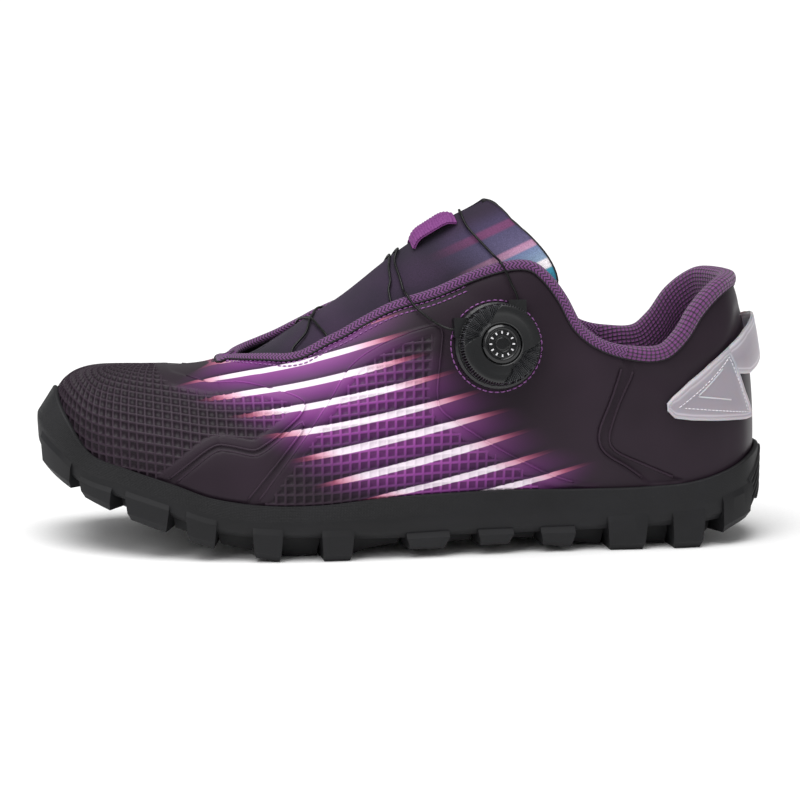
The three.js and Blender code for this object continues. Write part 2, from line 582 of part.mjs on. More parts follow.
const liningRings = edgeFrames.map(({ u, point, normal, rise }) => {
  const full = THREE.MathUtils.smoothstep(HEEL - Math.abs(u - HEEL), PADDING_START, PADDING_FULL);
  const at = ([n, up]) => point.clone().addScaledVector(normal, n).addScaledVector(rise, up);
  const inside = (n, depth) => offSkin(u, edgePhi(u) - depth / skinFrame(u, edgePhi(u)).speed, n);
  const slim = ROLL.map(at);
  if (full === 0) return slim;
  const thick = [
    ...COLLAR_ROLL.map(at),
    inside(-UPPER_WALL - PADDING, 5),
    inside(-UPPER_WALL - 0.8 * PADDING, 0.6 * PADDING_DEPTH),
    inside(-UPPER_WALL - 1.4, PADDING_DEPTH),
    inside(-UPPER_WALL - GAP, PADDING_DEPTH - 1),
    inside(-UPPER_WALL - GAP, 0),
  ];
  return slim.map((p, k) => p.clone().lerp(thick[k], full));
});
const panelRoom = solidOf(thicken(skinSurface(0, 1 - GAP), -UPPER_WALL / 2, PANEL_STEP + GAP));
const lining = solidOf(sweep(liningRings, true)).subtract(panelRoom);

// Where a place on the side of the upper lies in the rib grid; z is its height.
function ribPlace(x, z, medial) {
  const phiAt = (u) => {
    const r = rib(u);
    return Math.asin(Math.min(1, (z - r.floor - GAP) / (r.crownZ - r.floor - GAP)));
  };
  const sideRib = (u) => (medial ? 2 * HEEL - u : u);
  const u = sideRib(turningPoint(1, HEEL - 0.01, (v) => skin(sideRib(v), phiAt(sideRib(v))).x > x));
  return { u, phi: phiAt(u) };
}

// Dial: base, knob and cap turn about the skin's normal at its middle.
const DIAL_AT = 0.611; // share of LENGTH
const DIAL_HIGH = 0.579; // share of INSTEP_HEIGHT
const KNOB_RADIUS = 16;
const KNOB_HEIGHT = 7;
const BASE_HEIGHT = 4.2;
const CAP_RADIUS = 7.6;
const FLANGE = 0.9; // the base shows this much round the knob
const ROOT = 4; // the base's pieces start this far under the skin, and are then cut along it
const CORD_RADIUS = 0.5;
const dialPlace = ribPlace((DIAL_AT - 0.5) * LENGTH, DIAL_HIGH * INSTEP_HEIGHT, false);
const dialFrame = (() => {
  const { point, normal } = skinFrame(dialPlace.u, dialPlace.phi);
  const right = new THREE.Vector3(0, 0, 1).cross(normal).normalize();
  const up = new THREE.Vector3().crossVectors(normal, right);
  return new THREE.Matrix4().makeBasis(right, up, normal).setPosition(point);
})();
const onDial = (x, y, z) => new THREE.Vector3(x, y, z).applyMatrix4(dialFrame);
const turned = (profile, steps) => {
  const made = new THREE.LatheGeometry(profile.map(([radius, z]) => new THREE.Vector2(radius, z)), steps);
  return solidOf(made.rotateX(QUARTER).applyMatrix4(dialFrame));
};
// Housings where the cord leaves the base: middle and size in the dial's plane, then the line of the hole
const PORTS = [
  { x: -13.4, y: 7.0, wide: 7.6, high: 7.6, from: [-10.8, 6.0], to: [-17.7, 6.4] },
  { x: 8.0, y: 13.8, wide: 7.0, high: 7.8, from: [7.8, 11.4], to: [8.4, 18.2] },
];
const CORD_HEIGHT = 2.2; // the cord leaves the base this far above the skin
const portBlocks = PORTS.map(({ x, y, wide, high }) => {
  const block = new THREE.BoxGeometry(wide, high, BASE_HEIGHT + ROOT);
  return solidOf(block.translate(x, y, (BASE_HEIGHT - ROOT) / 2).applyMatrix4(dialFrame));
});
const straight = (from, to, radius) => {
  const axis = to.clone().sub(from);
  const made = new THREE.CylinderGeometry(radius, radius, axis.length(), 8);
  made.applyQuaternion(new THREE.Quaternion().setFromUnitVectors(new THREE.Vector3(0, 1, 0), axis.normalize()));
  const middle = from.clone().add(to).multiplyScalar(0.5);
  return solidOf(made.translate(middle.x, middle.y, middle.z));
};
const portHoles = PORTS.map(({ from, to }) => (
  straight(onDial(...from, CORD_HEIGHT), onDial(...to, CORD_HEIGHT), CORD_RADIUS + GAP)
));
const basePlate = turned([
  [0, -ROOT], [KNOB_RADIUS + FLANGE, -ROOT], [KNOB_RADIUS + FLANGE, BASE_HEIGHT - FLANGE],
  [KNOB_RADIUS, BASE_HEIGHT], [0, BASE_HEIGHT],
], 36);
const underSkin = solidOf(thicken(skinSurface(), -3 * ROOT, GAP));
const dialBase = joined([[...portHoles, underSkin].reduce(
  (body, cut) => body.subtract(cut),
  joined([basePlate, ...portBlocks]),
)]);
const knobFoot = BASE_HEIGHT + GAP;
const knobTop = knobFoot + KNOB_HEIGHT;
const dialKnob = turned([
  [0, knobFoot], [KNOB_RADIUS - 0.6, knobFoot], [KNOB_RADIUS, knobFoot + 0.8], [KNOB_RADIUS, knobTop - 1.4],
  [KNOB_RADIUS - 1.3, knobTop], [CAP_RADIUS + 1.5, knobTop - 0.5], [CAP_RADIUS + GAP, knobTop - 0.7],
  [CAP_RADIUS + GAP, knobTop - 2.4], [0, knobTop - 2.4],
], 40);
const dialCap = turned([
  [0, knobTop - 2.4 + GAP], [CAP_RADIUS, knobTop - 2.4 + GAP], [CAP_RADIUS, knobTop - 0.5],
  [CAP_RADIUS - 0.9, knobTop], [CAP_RADIUS - 2.4, knobTop - 0.3], [0, knobTop - 0.2],
], 28);

// Cord of the dial. Each row is a point on its way: u is a rib, phi how far up it, over what the cord runs over.
const CORD_LIFT = { // middle of the cord above the skin
  film: CORD_RADIUS + 1.5,
  tongue: CORD_RADIUS + 0.8 - UPPER_WALL - GAP - TONGUE_DROP,
  under: -UPPER_WALL - (GAP + TONGUE_DROP) / 2, // between the upper and the tongue
};
const BACK = 2 * HEEL; // a medial rib is BACK less the lateral one opposite
const REAR_CORD = [
  { u: 11.22, phi: 0.860, over: 'film' },
  { u: 11.20, phi: 0.920, over: 'film' },
  { u: 11.17, phi: 0.985, over: 'film' },
  { u: 11.14, phi: 1.060, over: 'tongue' },
  { u: 11.05, phi: 1.230, over: 'tongue' },
  { u: 11.08, phi: 1.368, over: 'tongue' },
  { u: 11.36, phi: 1.545, over: 'tongue' },
  { u: BACK - 11.10, phi: 1.370, over: 'tongue' },
  { u: BACK - 10.95, phi: 1.230, over: 'tongue' },
  { u: BACK - 10.97, phi: 1.100, over: 'under' },
  { u: BACK - 10.97, phi: 0.900, over: 'under' },
];
const MIDDLE_CORD = [
  { u: 10.04, phi: 0.803, over: 'film' },
  { u: 9.87, phi: 0.887, over: 'film' },
  { u: 9.77, phi: 0.965, over: 'film' },
  { u: 9.72, phi: 1.060, over: 'film' },
  { u: 9.70, phi: 1.140, over: 'tongue' },
  { u: 9.74, phi: 1.253, over: 'tongue' },
  { u: 9.87, phi: 1.448, over: 'tongue' },
  { u: 10.10, phi: 1.545, over: 'tongue' },
  { u: BACK - 9.87, phi: 1.430, over: 'tongue' },
  { u: BACK - 9.76, phi: 1.280, over: 'tongue' },
  { u: BACK - 9.74, phi: 1.120, over: 'under' },
  { u: BACK - 9.72, phi: 0.920, over: 'under' },
];
const RETURN_CORD = [
  { u: 9.42, phi: 0.920, over: 'under' },
  { u: 9.46, phi: 1.080, over: 'under' },
  { u: 9.52, phi: 1.215, over: 'tongue' },
  { u: 9.61, phi: 1.286, over: 'tongue' },
  { u: 9.73, phi: 1.420, over: 'tongue' },
  { u: 9.93, phi: 1.545, over: 'tongue' },
  { u: BACK - 9.70, phi: 1.400, over: 'tongue' },
  { u: BACK - 9.60, phi: 1.260, over: 'tongue' },
  { u: BACK - 9.56, phi: 1.120, over: 'under' },
  { u: BACK - 9.54, phi: 0.920, over: 'under' },
];
const FRONT_CORDS = [[
  { u: 7.62, phi: 0.940, over: 'under' },
  { u: 7.68, phi: 1.080, over: 'under' },
  { u: 7.75, phi: 1.190, over: 'tongue' },
  { u: 8.08, phi: 1.288, over: 'tongue' },
  { u: 8.30, phi: 1.445, over: 'tongue' },
  { u: BACK - 8.52, phi: 1.450, over: 'tongue' },
  { u: BACK - 8.66, phi: 1.260, over: 'under' },
  { u: BACK - 8.74, phi: 1.080, over: 'under' },
], [
  { u: 8.48, phi: 0.940, over: 'under' },
  { u: 8.43, phi: 1.080, over: 'under' },
  { u: 8.38, phi: 1.185, over: 'tongue' },
  { u: 8.33, phi: 1.300, over: 'tongue' },
  { u: 8.30, phi: 1.445, over: 'tongue' },
  { u: BACK - 8.12, phi: 1.450, over: 'tongue' },
  { u: BACK - 7.98, phi: 1.260, over: 'under' },
  { u: BACK - 7.92, phi: 1.080, over: 'under' },
]];
function cord(rows, start, steps) {
  const sides = 6;
  const points = [...start, ...rows.map(({ u, phi, over }) => offSkin(u, phi, CORD_LIFT[over]))];
  const curve = new THREE.CatmullRomCurve3(points, false, 'centripetal');
  const { normals, binormals } = curve.computeFrenetFrames(steps);
  return solidOf(sweep(curve.getSpacedPoints(steps).map((p, i) => (
    Array.from({ length: sides }, (_, k) => {
      const turn = (k / sides) * 2 * Math.PI;
      return p.clone().addScaledVector(normals[i], CORD_RADIUS * Math.cos(turn))
        .addScaledVector(binormals[i], CORD_RADIUS * Math.sin(turn));
    })
  ))));
}
const fromPort = ({ from, to }) => [onDial(...from, CORD_HEIGHT), onDial(...to, CORD_HEIGHT)];
const rearCord = cord(REAR_CORD, fromPort(PORTS[1]), 30);
const middleCord = cord(MIDDLE_CORD, fromPort(PORTS[0]), 30);
const returnCord = cord(RETURN_CORD, [], 26);
const frontCords = joined(FRONT_CORDS.map((rows) => cord(rows, [], 20)));

// Pull loop behind the heel: a three-cornered plate on each side, and a strap from one to the other that stands off
// the back. u is a rib, low and high are shares of INSTEP_HEIGHT, lift is the space under it.
const LOOP_THICKNESS = 1.6;
const LOOP_PLATE = [
  { u: 13.52, low: 0.392, high: 0.414, lift: 0.35 },
  { u: 13.66, low: 0.371, high: 0.434, lift: 0.35 },
  { u: 14.04, low: 0.364, high: 0.474, lift: 0.35 },
  { u: 14.60, low: 0.360, high: 0.520, lift: 0.35 },
  { u: 15.02, low: 0.358, high: 0.548, lift: 0.40 },
  { u: 15.30, low: 0.357, high: 0.562, lift: 0.45 },
  { u: 15.45, low: 0.356, high: 0.522, lift: 0.50 },
  { u: 15.73, low: 0.355, high: 0.438, lift: 0.60 },
  { u: 16.00, low: 0.357, high: 0.380, lift: 0.80 },
];
const LOOP_STRAP = [
  { u: 14.72, low: 0.506, high: 0.534, lift: 0.50 },
  { u: 15.02, low: 0.498, high: 0.578, lift: 0.60 },
  { u: 15.42, low: 0.488, high: 0.602, lift: 0.80 },
  { u: 16.04, low: 0.480, high: 0.611, lift: 1.20 },
  { u: 16.40, low: 0.492, high: 0.618, lift: 2.20 },
  { u: 16.70, low: 0.508, high: 0.629, lift: 3.20 },
  { u: 17.00, low: 0.520, high: 0.636, lift: 3.60 },
];
const LOOP_ACROSS = 4;
const acrossHeel = (rows) => rows.map((row) => ({ ...row, u: 2 * HEEL - row.u })).reverse();
const loopBand = (rows) => solidOf(thicken(surface(rows.map(({ u, low, high, lift }) => (
  Array.from({ length: LOOP_ACROSS + 1 }, (_, j) => {
    const z = (low + (high - low) * (j / LOOP_ACROSS)) * INSTEP_HEIGHT;
    const r = rib(u);
    return offSkin(u, Math.asin((z - r.floor - GAP) / (r.crownZ - r.floor - GAP)), lift);
  })
)), false, true), 0, LOOP_THICKNESS));
const heelLoop = joined([
  loopBand(LOOP_PLATE),
  loopBand(acrossHeel(LOOP_PLATE)),
  loopBand([...LOOP_STRAP, ...acrossHeel(LOOP_STRAP.slice(0, -1))]),
]);

// Tab on the tongue: a ribbon sewn down at both ends, which stands off between them. Its grid runs along the shoe
// and across the crown.
const TAB_WIDTH = 18;
const TAB_THICKNESS = 0.9;
const TAB_RISE = 2.6;
const TAB_STEPS = 10;
const TAB_ACROSS = 6;
const TAB_AT = 0.502; // front end, share of LENGTH
const TAB_LENGTH = 16.5;
function overCrown(x, y, lift) {
  const side = y < 0 ? (u) => u : (u) => 2 * HEEL - u;
  const phiAt = (u) => {
    const crown = rib(u).crownY;
    return turningPoint(0, QUARTER - 0.03, (phi) => Math.abs(skin(side(u), phi).y - crown) < Math.abs(y));
  };
  const u = turningPoint(8, 12.5, (v) => skin(side(v), phiAt(v)).x > x);
  return offSkin(side(u), phiAt(u), lift);
}
const tabGrid = Array.from({ length: TAB_STEPS + 1 }, (_, i) => {
  const t = i / TAB_STEPS;
  const lift = TAB_RISE * Math.min(1, 4.5 * Math.min(t, 1 - t)) ** 0.6 - UPPER_WALL - TONGUE_DROP + 0.2;
  return Array.from({ length: TAB_ACROSS + 1 }, (__, j) => {
    const y = (j / TAB_ACROSS - 0.5) * TAB_WIDTH;
    const x = (TAB_AT + (TAB_LENGTH / LENGTH) * t - 0.5) * LENGTH + 0.012 * y * y;
    return overCrown(x, y, lift);
  });
});
const tab = solidOf(thicken(surface(tabGrid, false, true), 0, TAB_THICKNESS));

const material = (color, roughness) => new THREE.MeshStandardMaterial({ color, roughness });
const MATERIALS = {
  film: material(0x3a2a38, 0.5),
  knit: material(0x7a3f80, 0.9),
  stretch: material(0x2e2540, 0.85),
  webbing: material(0x8d3f96, 0.8),
  rubber: material(0x1c1d1f, 0.8),
  foam: material(0x2a2430, 0.9),
  hard: material(0x15161a, 0.35),
  cord: material(0x101010, 0.4),
  clear: material(0xd8d2da, 0.3),
};
const shoe = new THREE.Group();
function piece(name, geometry, finish) {
  const mesh = new THREE.Mesh(geometry, MATERIALS[finish]);
  mesh.name = name;
  shoe.add(mesh);
}

piece('outsole', geometryOf(outsole), 'rubber');
piece('upper', geometryOf(upperBody), 'film');
piece('insole', geometryOf(clearOfUpper(insole)), 'foam');
piece('tongue', geometryOf(tongue), 'stretch');
piece('collar_lining', geometryOf(clearOfUpper(lining)), 'knit');
piece('dial_base', geometryOf(dialBase), 'hard');
piece('dial_knob', geometryOf(dialKnob), 'hard');
piece('dial_cap', geometryOf(dialCap), 'hard');
piece('cord_rear', geometryOf(rearCord), 'cord');
piece('cord_middle', geometryOf(middleCord), 'cord');
piece('cord_return', geometryOf(returnCord), 'cord');
piece('cord_front', geometryOf(frontCords), 'cord');
piece('heel_loop', geometryOf(heelLoop), 'clear');
piece('tongue_tab', geometryOf(tab), 'webbing');

export default shoe;
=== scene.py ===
# Looks of a low-cut cycling shoe for the left foot, closed by a cord dial.
# Lengths are millimetres until a mesh is made. X runs from the toe (-) to the heel (+), -Y is the lateral
# side with the dial, Z is up and the floor is z = 0.
import math
import bmesh
import bpy
import numpy as np
from mathutils import Matrix


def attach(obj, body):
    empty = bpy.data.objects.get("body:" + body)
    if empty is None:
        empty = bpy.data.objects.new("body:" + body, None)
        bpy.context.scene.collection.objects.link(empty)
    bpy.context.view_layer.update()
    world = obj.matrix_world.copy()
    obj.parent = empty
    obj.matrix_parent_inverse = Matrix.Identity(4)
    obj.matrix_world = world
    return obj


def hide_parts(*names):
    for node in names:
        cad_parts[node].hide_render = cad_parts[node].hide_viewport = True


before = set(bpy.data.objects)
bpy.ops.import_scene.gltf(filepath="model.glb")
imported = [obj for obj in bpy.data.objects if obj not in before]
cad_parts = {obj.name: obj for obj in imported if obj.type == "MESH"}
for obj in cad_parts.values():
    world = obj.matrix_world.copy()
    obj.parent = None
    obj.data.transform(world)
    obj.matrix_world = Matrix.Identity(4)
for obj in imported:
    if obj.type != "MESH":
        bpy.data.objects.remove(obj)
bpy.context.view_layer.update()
MM = 0.001

# Driving sizes, the same as the solids'
LENGTH = 290
HALF_WIDTH = 52
INSTEP_HEIGHT = 140
WALL_HEIGHT = 25
UPPER_WALL = 2.2
TONGUE_WALL = 3
INSOLE_THICKNESS = 4
SOLE_LIP = 1.8
GAP = 0.3
QUARTER = math.pi / 2

# Sections of the last and sole, toe to heel, as shares: at and crown_at of LENGTH; lateral, medial, inset,
# crown_side and belly of HALF_WIDTH; rim, floor, ground and tread of WALL_HEIGHT; crown of INSTEP_HEIGHT.
# full is the exponent of the shoulder.
SECTION_COLUMNS = ("at", "lateral", "medial", "inset", "rim", "floor", "ground", "tread",
                   "crown_at", "crown", "crown_side", "belly", "full")
SECTIONS = (
    (0.000, -0.155, 0.155, 0.145, 2.36, 1.76, 1.50, 1.40, 0.104, 0.482, 0.155, 0.045, 0.58),
    (0.003, 0.090, 0.390, 0.142, 2.30, 1.70, 1.40, 1.28, 0.106, 0.483, 0.155, 0.045, 0.58),
    (0.025, 0.356, 0.600, 0.130, 2.00, 1.50, 1.22, 1.08, 0.114, 0.484, 0.155, 0.045, 0.60),
    (0.061, 0.570, 0.750, 0.110, 1.54, 1.18, 1.02, 0.86, 0.132, 0.484, 0.152, 0.045, 0.64),
    (0.113, 0.750, 0.868, 0.095, 1.36, 0.98, 0.88, 0.62, 0.160, 0.484, 0.145, 0.045, 0.72),
    (0.172, 0.866, 0.942, 0.086, 1.17, 0.80, 0.66, 0.40, 0.198, 0.487, 0.135, 0.042, 0.80),
    (0.227, 0.942, 0.980, 0.080, 0.97, 0.66, 0.44, 0.20, 0.240, 0.502, 0.115, 0.040, 0.88),
    (0.297, 0.992, 1.000, 0.076, 0.87, 0.57, 0.36, 0.04, 0.289, 0.552, 0.095, 0.038, 0.94),
    (0.373, 0.992, 0.952, 0.074, 0.87, 0.55, 0.35, -0.12, 0.342, 0.626, 0.085, 0.036, 0.92),
    (0.461, 0.938, 0.836, 0.073, 0.96, 0.60, 0.31, 0.12, 0.405, 0.712, 0.075, 0.032, 0.88),
    (0.551, 0.850, 0.712, 0.072, 1.00, 0.67, 0.32, 0.13, 0.474, 0.828, 0.065, 0.030, 0.78),
    (0.642, 0.769, 0.640, 0.070, 1.01, 0.71, 0.31, 0.15, 0.539, 0.922, 0.055, 0.032, 0.74),
    (0.736, 0.708, 0.625, 0.068, 0.99, 0.74, 0.32, 0.04, 0.602, 1.000, 0.048, 0.040, 0.74),
    (0.815, 0.677, 0.654, 0.065, 1.00, 0.76, 0.34, -0.12, 0.647, 1.125, 0.040, 0.050, 0.88),
    (0.885, 0.640, 0.669, 0.062, 1.06, 0.78, 0.37, -0.12, 0.677, 1.205, 0.038, 0.066, 1.02),
    (0.940, 0.540, 0.606, 0.058, 1.22, 0.82, 0.44, 0.24, 0.697, 1.235, 0.038, 0.066, 1.02),
    (0.979, 0.356, 0.433, 0.056, 1.42, 0.88, 0.58, 0.42, 0.705, 1.245, 0.038, 0.066, 1.02),
    (1.000, -0.038, 0.038, 0.055, 1.50, 0.94, 0.74, 0.60, 0.707, 1.250, 0.038, 0.066, 1.02),
)
# Edge of the upper round throat and collar in the side view: at, then its height on either side.
EDGE_COLUMNS = ("at", "lateral", "medial")
EDGE = (
    (0.246, 0.505, 0.505), (0.263, 0.518, 0.522), (0.304, 0.530, 0.545), (0.330, 0.534, 0.563),
    (0.352, 0.545, 0.585), (0.369, 0.562, 0.603), (0.383, 0.578, 0.620), (0.410, 0.605, 0.645),
    (0.437, 0.637, 0.668), (0.477, 0.679, 0.706), (0.530, 0.715, 0.745), (0.585, 0.763, 0.782),
    (0.625, 0.787, 0.797), (0.659, 0.789, 0.792), (0.679, 0.758, 0.765), (0.699, 0.703, 0.712),
    (0.719, 0.628, 0.642), (0.753, 0.573, 0.578), (0.802, 0.545, 0.549), (0.843, 0.549, 0.551),
    (0.871, 0.599, 0.600), (0.893, 0.665, 0.668), (0.925, 0.722, 0.724), (0.950, 0.736, 0.736),
    (1.000, 0.738, 0.738),
)

# Ribs of the last: rib 0 is the toe tip, HEEL the heel tip by the lateral side, and medial ribs come back
# from there.
HEEL = len(SECTIONS) - 1
BACK = 2 * HEEL  # the medial mate of a lateral rib u is rib BACK - u
X, Y, INSET, RIM, FLOOR, GROUND, TREAD, CROWN_X, CROWN_Y, CROWN_Z, BELLY, FULL = range(12)


def rib_rows():
    rows = []
    for index in range(BACK):
        lateral = index <= HEEL
        row = dict(zip(SECTION_COLUMNS, SECTIONS[index if lateral else BACK - index]))
        side = -row["lateral"] if lateral else row["medial"]
        rows.append((
            (row["at"] - 0.5) * LENGTH, side * HALF_WIDTH, row["inset"] * HALF_WIDTH,
            row["rim"] * WALL_HEIGHT, row["floor"] * WALL_HEIGHT, row["ground"] * WALL_HEIGHT,
            row["tread"] * WALL_HEIGHT, (row["crown_at"] - 0.5) * LENGTH, row["crown_side"] * HALF_WIDTH,
            row["crown"] * INSTEP_HEIGHT, row["belly"] * HALF_WIDTH, row["full"],
        ))
    return np.array(rows)


RIBS = rib_rows()


def rib(u):
    """The ribs' columns at u, along a smooth curve through the rows."""
    u = np.asarray(u, float)
    base = np.floor(u).astype(int)
    t = (u - base)[..., None]
    a, b, c, d = (RIBS[(base + step) % (BACK)] for step in (-1, 0, 1, 2))
    return b + 0.5 * t * (c - a + t * (2 * a - 5 * b + 4 * c - d + t * (3 * (b - c) + d - a)))


def unit(vectors):
    return vectors / np.maximum(np.linalg.norm(vectors, axis=-1, keepdims=True), 1e-12)


def reached(points, axis=0):
    """Length along a line of points up to each of them, or along each line of a grid."""
    steps = np.linalg.norm(np.diff(points, axis=axis), axis=-1)
    return np.concatenate([np.zeros_like(steps.take([0], axis)), np.cumsum(steps, axis=axis)], axis=axis)


def both_sides(half):
    """Ribs all the way round, from those of the lateral side."""
    return np.concatenate([half, BACK - half[-2:0:-1]])


def outwards(u):
    """Outward direction of the sole's outline, level with the floor."""
    a, b = rib(np.asarray(u) - 0.01), rib(np.asarray(u) + 0.01)
    return unit(np.stack([b[..., Y] - a[..., Y], a[..., X] - b[..., X], 0 * a[..., X]], -1))


def skin(u, phi):
    """The upper's outer skin on rib u, phi radians up from the sole to the crown."""
    u, phi = np.broadcast_arrays(np.asarray(u, float), np.asarray(phi, float))
    r, out = rib(u), outwards(u)
    rise = 1 - np.maximum(0, np.cos(phi)) ** r[..., FULL]
    foot = np.stack([r[..., X], r[..., Y], r[..., FLOOR] + GAP], -1) - out * r[..., INSET, None]
    share = np.stack([rise, rise, np.sin(phi)], -1)
    bulge = r[..., BELLY] * np.sin(2 * phi) * np.cos(phi)
    return foot + (r[..., CROWN_X:CROWN_Z + 1] - foot) * share + out * bulge[..., None]


def skin_frame(u, phi):
    """Point, direction along the shoe, direction up, speed up and outward normal of the skin."""
    step = 0.01
    u, phi = np.broadcast_arrays(np.asarray(u, float), np.asarray(phi, float))
    course = unit(skin(u + step, phi) - skin(u - step, phi))
    rate = (skin(u, phi + step) - skin(u, phi - step)) / (2 * step)
    return skin(u, phi), course, unit(rate), np.linalg.norm(rate, axis=-1), unit(np.cross(course, rate))


def off_skin(u, phi, offset):
    point, _, _, _, normal = skin_frame(u, phi)
    return point + normal * np.broadcast_to(offset, point.shape[:-1])[..., None]


def edge_height(u, x):
    """Height of the upper's edge at x, on the side of rib u."""
    table = np.array(EDGE)
    at = np.asarray(x) / LENGTH + 0.5
    i = np.clip(np.searchsorted(table[:, 0], at) - 1, 0, len(table) - 2)
    t = (at - table[i, 0]) / (table[i + 1, 0] - table[i, 0])
    medial = np.mod(u, BACK) > HEEL
    heights = []
    for column in (1, 2):
        slopes = np.empty(len(table))
        for k in range(len(table)):
            low, high = table[max(0, k - 1)], table[min(len(table) - 1, k + 1)]
            slopes[k] = (high[column] - low[column]) / (high[0] - low[0])
        span = table[i + 1, 0] - table[i, 0]
        heights.append(
            (2 * t**3 - 3 * t**2 + 1) * table[i, column] + (t**3 - 2 * t**2 + t) * span * slopes[i]
            + (3 * t**2 - 2 * t**3) * table[i + 1, column] + (t**3 - t**2) * span * slopes[i + 1])
    height = np.where(medial, heights[1], heights[0]) * INSTEP_HEIGHT
    return np.where(at < EDGE[0][0], np.inf, height)


def edge_phi(u):
    """How far up a rib the upper reaches: the crown over the vamp, or the edge of throat and collar."""
    u = np.atleast_1d(np.asarray(u, float))
    levels = np.linspace(0, QUARTER, 91)
    points = skin(u[:, None], levels[None, :])
    over = points[..., 2] > edge_height(u[:, None], points[..., 0])
    first = np.argmax(over, axis=1)
    low, high = levels[np.maximum(first - 1, 0)], levels[first]
    for _ in range(24):
        middle = (low + high) / 2
        point = skin(u, middle)
        past = point[:, 2] > edge_height(u, point[:, 0])
        low, high = np.where(past, low, middle), np.where(past, middle, high)
    return np.where(over.any(axis=1), high, QUARTER)


FINE_RIBS = np.linspace(0, HEEL, 4001)
FINE_ROWS = rib(FINE_RIBS)
THROAT_FRONT = np.interp((EDGE[0][0] - 0.5) * LENGTH, FINE_ROWS[:, CROWN_X], FINE_RIBS)
OUTLINE_REACH = reached(FINE_ROWS[:, X:Y + 1])


def phi_at(r, z):
    """How far up the ribs r the height z is."""
    return np.arcsin(np.clip((z - r[..., FLOOR] - GAP) / (r[..., CROWN_Z] - r[..., FLOOR] - GAP), -1, 1))


def rim_phi(u):
    """How far up a rib the sole's rim is."""
    r = rib(u)
    return phi_at(r, r[..., RIM])


def beside_sole(u, offset, z):
    """Places at height z, offset outwards from the sole's outline."""
    r = rib(u)
    place = np.stack([r[..., X], r[..., Y], 0 * r[..., X]], -1) + outwards(u) * np.asarray(offset)[..., None]
    place[..., 2] = z
    return place


def smooth(t):
    """A soft step from 0 to 1."""
    t = np.clip(t, 0, 1)
    return t * t * (3 - 2 * t)


def stations(step):
    """Ribs at even steps along the sole's outline, all the way round."""
    count = round(OUTLINE_REACH[-1] / step)
    half = np.interp(np.linspace(0, OUTLINE_REACH[-1], count + 1), OUTLINE_REACH, FINE_RIBS)
    return both_sides(half)


def through(points, count, closed=False, axis=0):
    """A smooth curve through points, at count places, along the given axis."""
    points = np.moveaxis(np.asarray(points, float), axis, 0)
    size = len(points)
    t = np.linspace(0, size if closed else size - 1, count, endpoint=not closed)
    base = np.minimum(t.astype(int), size - 1 if closed else size - 2)
    t = (t - base).reshape((-1,) + (1,) * (points.ndim - 1))
    if closed:
        a, b, c, d = (points[(base + step) % size] for step in (-1, 0, 1, 2))
    else:
        a, b, c, d = (points[np.clip(base + step, 0, size - 1)] for step in (-1, 0, 1, 2))
    made = b + 0.5 * t * (c - a + t * (2 * a - 5 * b + 4 * c - d + t * (3 * (b - c) + d - a)))
    return np.moveaxis(made, 0, axis)


# Making meshes
def grid_faces(rows, columns, loop_rows=False, loop_columns=False, first=0):
    i = np.arange(rows if loop_rows else rows - 1)[:, None]
    j = np.arange(columns if loop_columns else columns - 1)[None, :]
    after, beside = (i + 1) % rows, (j + 1) % columns
    corners = [i * columns + j, after * columns + j, after * columns + beside, i * columns + beside]
    return first + np.stack(np.broadcast_arrays(*corners), -1).reshape(-1, 4)


def weld(mesh):
    """Joins points that lie in one place."""
    work = bmesh.new()
    work.from_mesh(mesh)
    bmesh.ops.remove_doubles(work, verts=work.verts, dist=2e-6)
    bmesh.ops.dissolve_degenerate(work, edges=work.edges, dist=1e-7)
    work.to_mesh(mesh)
    work.free()


def piece(name, points, faces, finish, replaced=(), fields=None, sharp=None):
    """A mesh from points in millimetres, riding on the shoe. fields are named values, one for each point."""
    mesh = bpy.data.meshes.new(name)
    points = np.asarray(points, float).reshape(-1, 3) * MM
    mesh.from_pydata(points.tolist(), [], [tuple(face) for face in faces])
    for field, values in (fields or {}).items():
        layer = mesh.attributes.new(field, "FLOAT", "POINT")
        layer.data.foreach_set("value", np.asarray(values, np.float32).ravel())
    mesh.shade_smooth()
    if sharp is not None:
        mesh.set_sharp_from_angle(angle=math.radians(sharp))
    made = bpy.data.objects.new(name, mesh)
    bpy.context.collection.objects.link(made)
    for each in finish if isinstance(finish, tuple) else (finish,):
        mesh.materials.append(each)
    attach(made, "root")
    if replaced:
        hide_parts(*replaced)
    return made


def closed_sheet(outer, inner):
    """Points and faces of a sheet between two grids of points."""
    rows, columns = outer.shape[:2]
    count = rows * columns
    faces = [tuple(face) for face in grid_faces(rows, columns)]
    faces += [tuple(face[::-1]) for face in grid_faces(rows, columns, first=count)]
    places = np.arange(count).reshape(rows, columns)
    for line in (places[0], places[:, -1], places[-1, ::-1], places[::-1, 0]):
        for a, b in zip(line, line[1:]):
            faces.append((b, a, a + count, b + count))
    return np.concatenate([outer.reshape(-1, 3), inner.reshape(-1, 3)]), faces


def joined(parts):
    """Points and faces of several meshes as one list of each."""
    points, faces, first = [], [], 0
    for some, theirs in parts:
        some = np.asarray(some).reshape(-1, 3)
        points.append(some)
        faces += [tuple(int(k) + first for k in face) for face in theirs]
        first += len(some)
    return np.concatenate(points), faces


def capped(rings):
    """Points and faces of a closed form over rings of points."""
    count, sides = rings.shape[:2]
    faces = [tuple(face) for face in grid_faces(count, sides, loop_columns=True)]
    last = (count - 1) * sides
    faces += [tuple(range(sides)), tuple(last + k for k in reversed(range(sides)))]
    return rings.reshape(-1, 3), faces


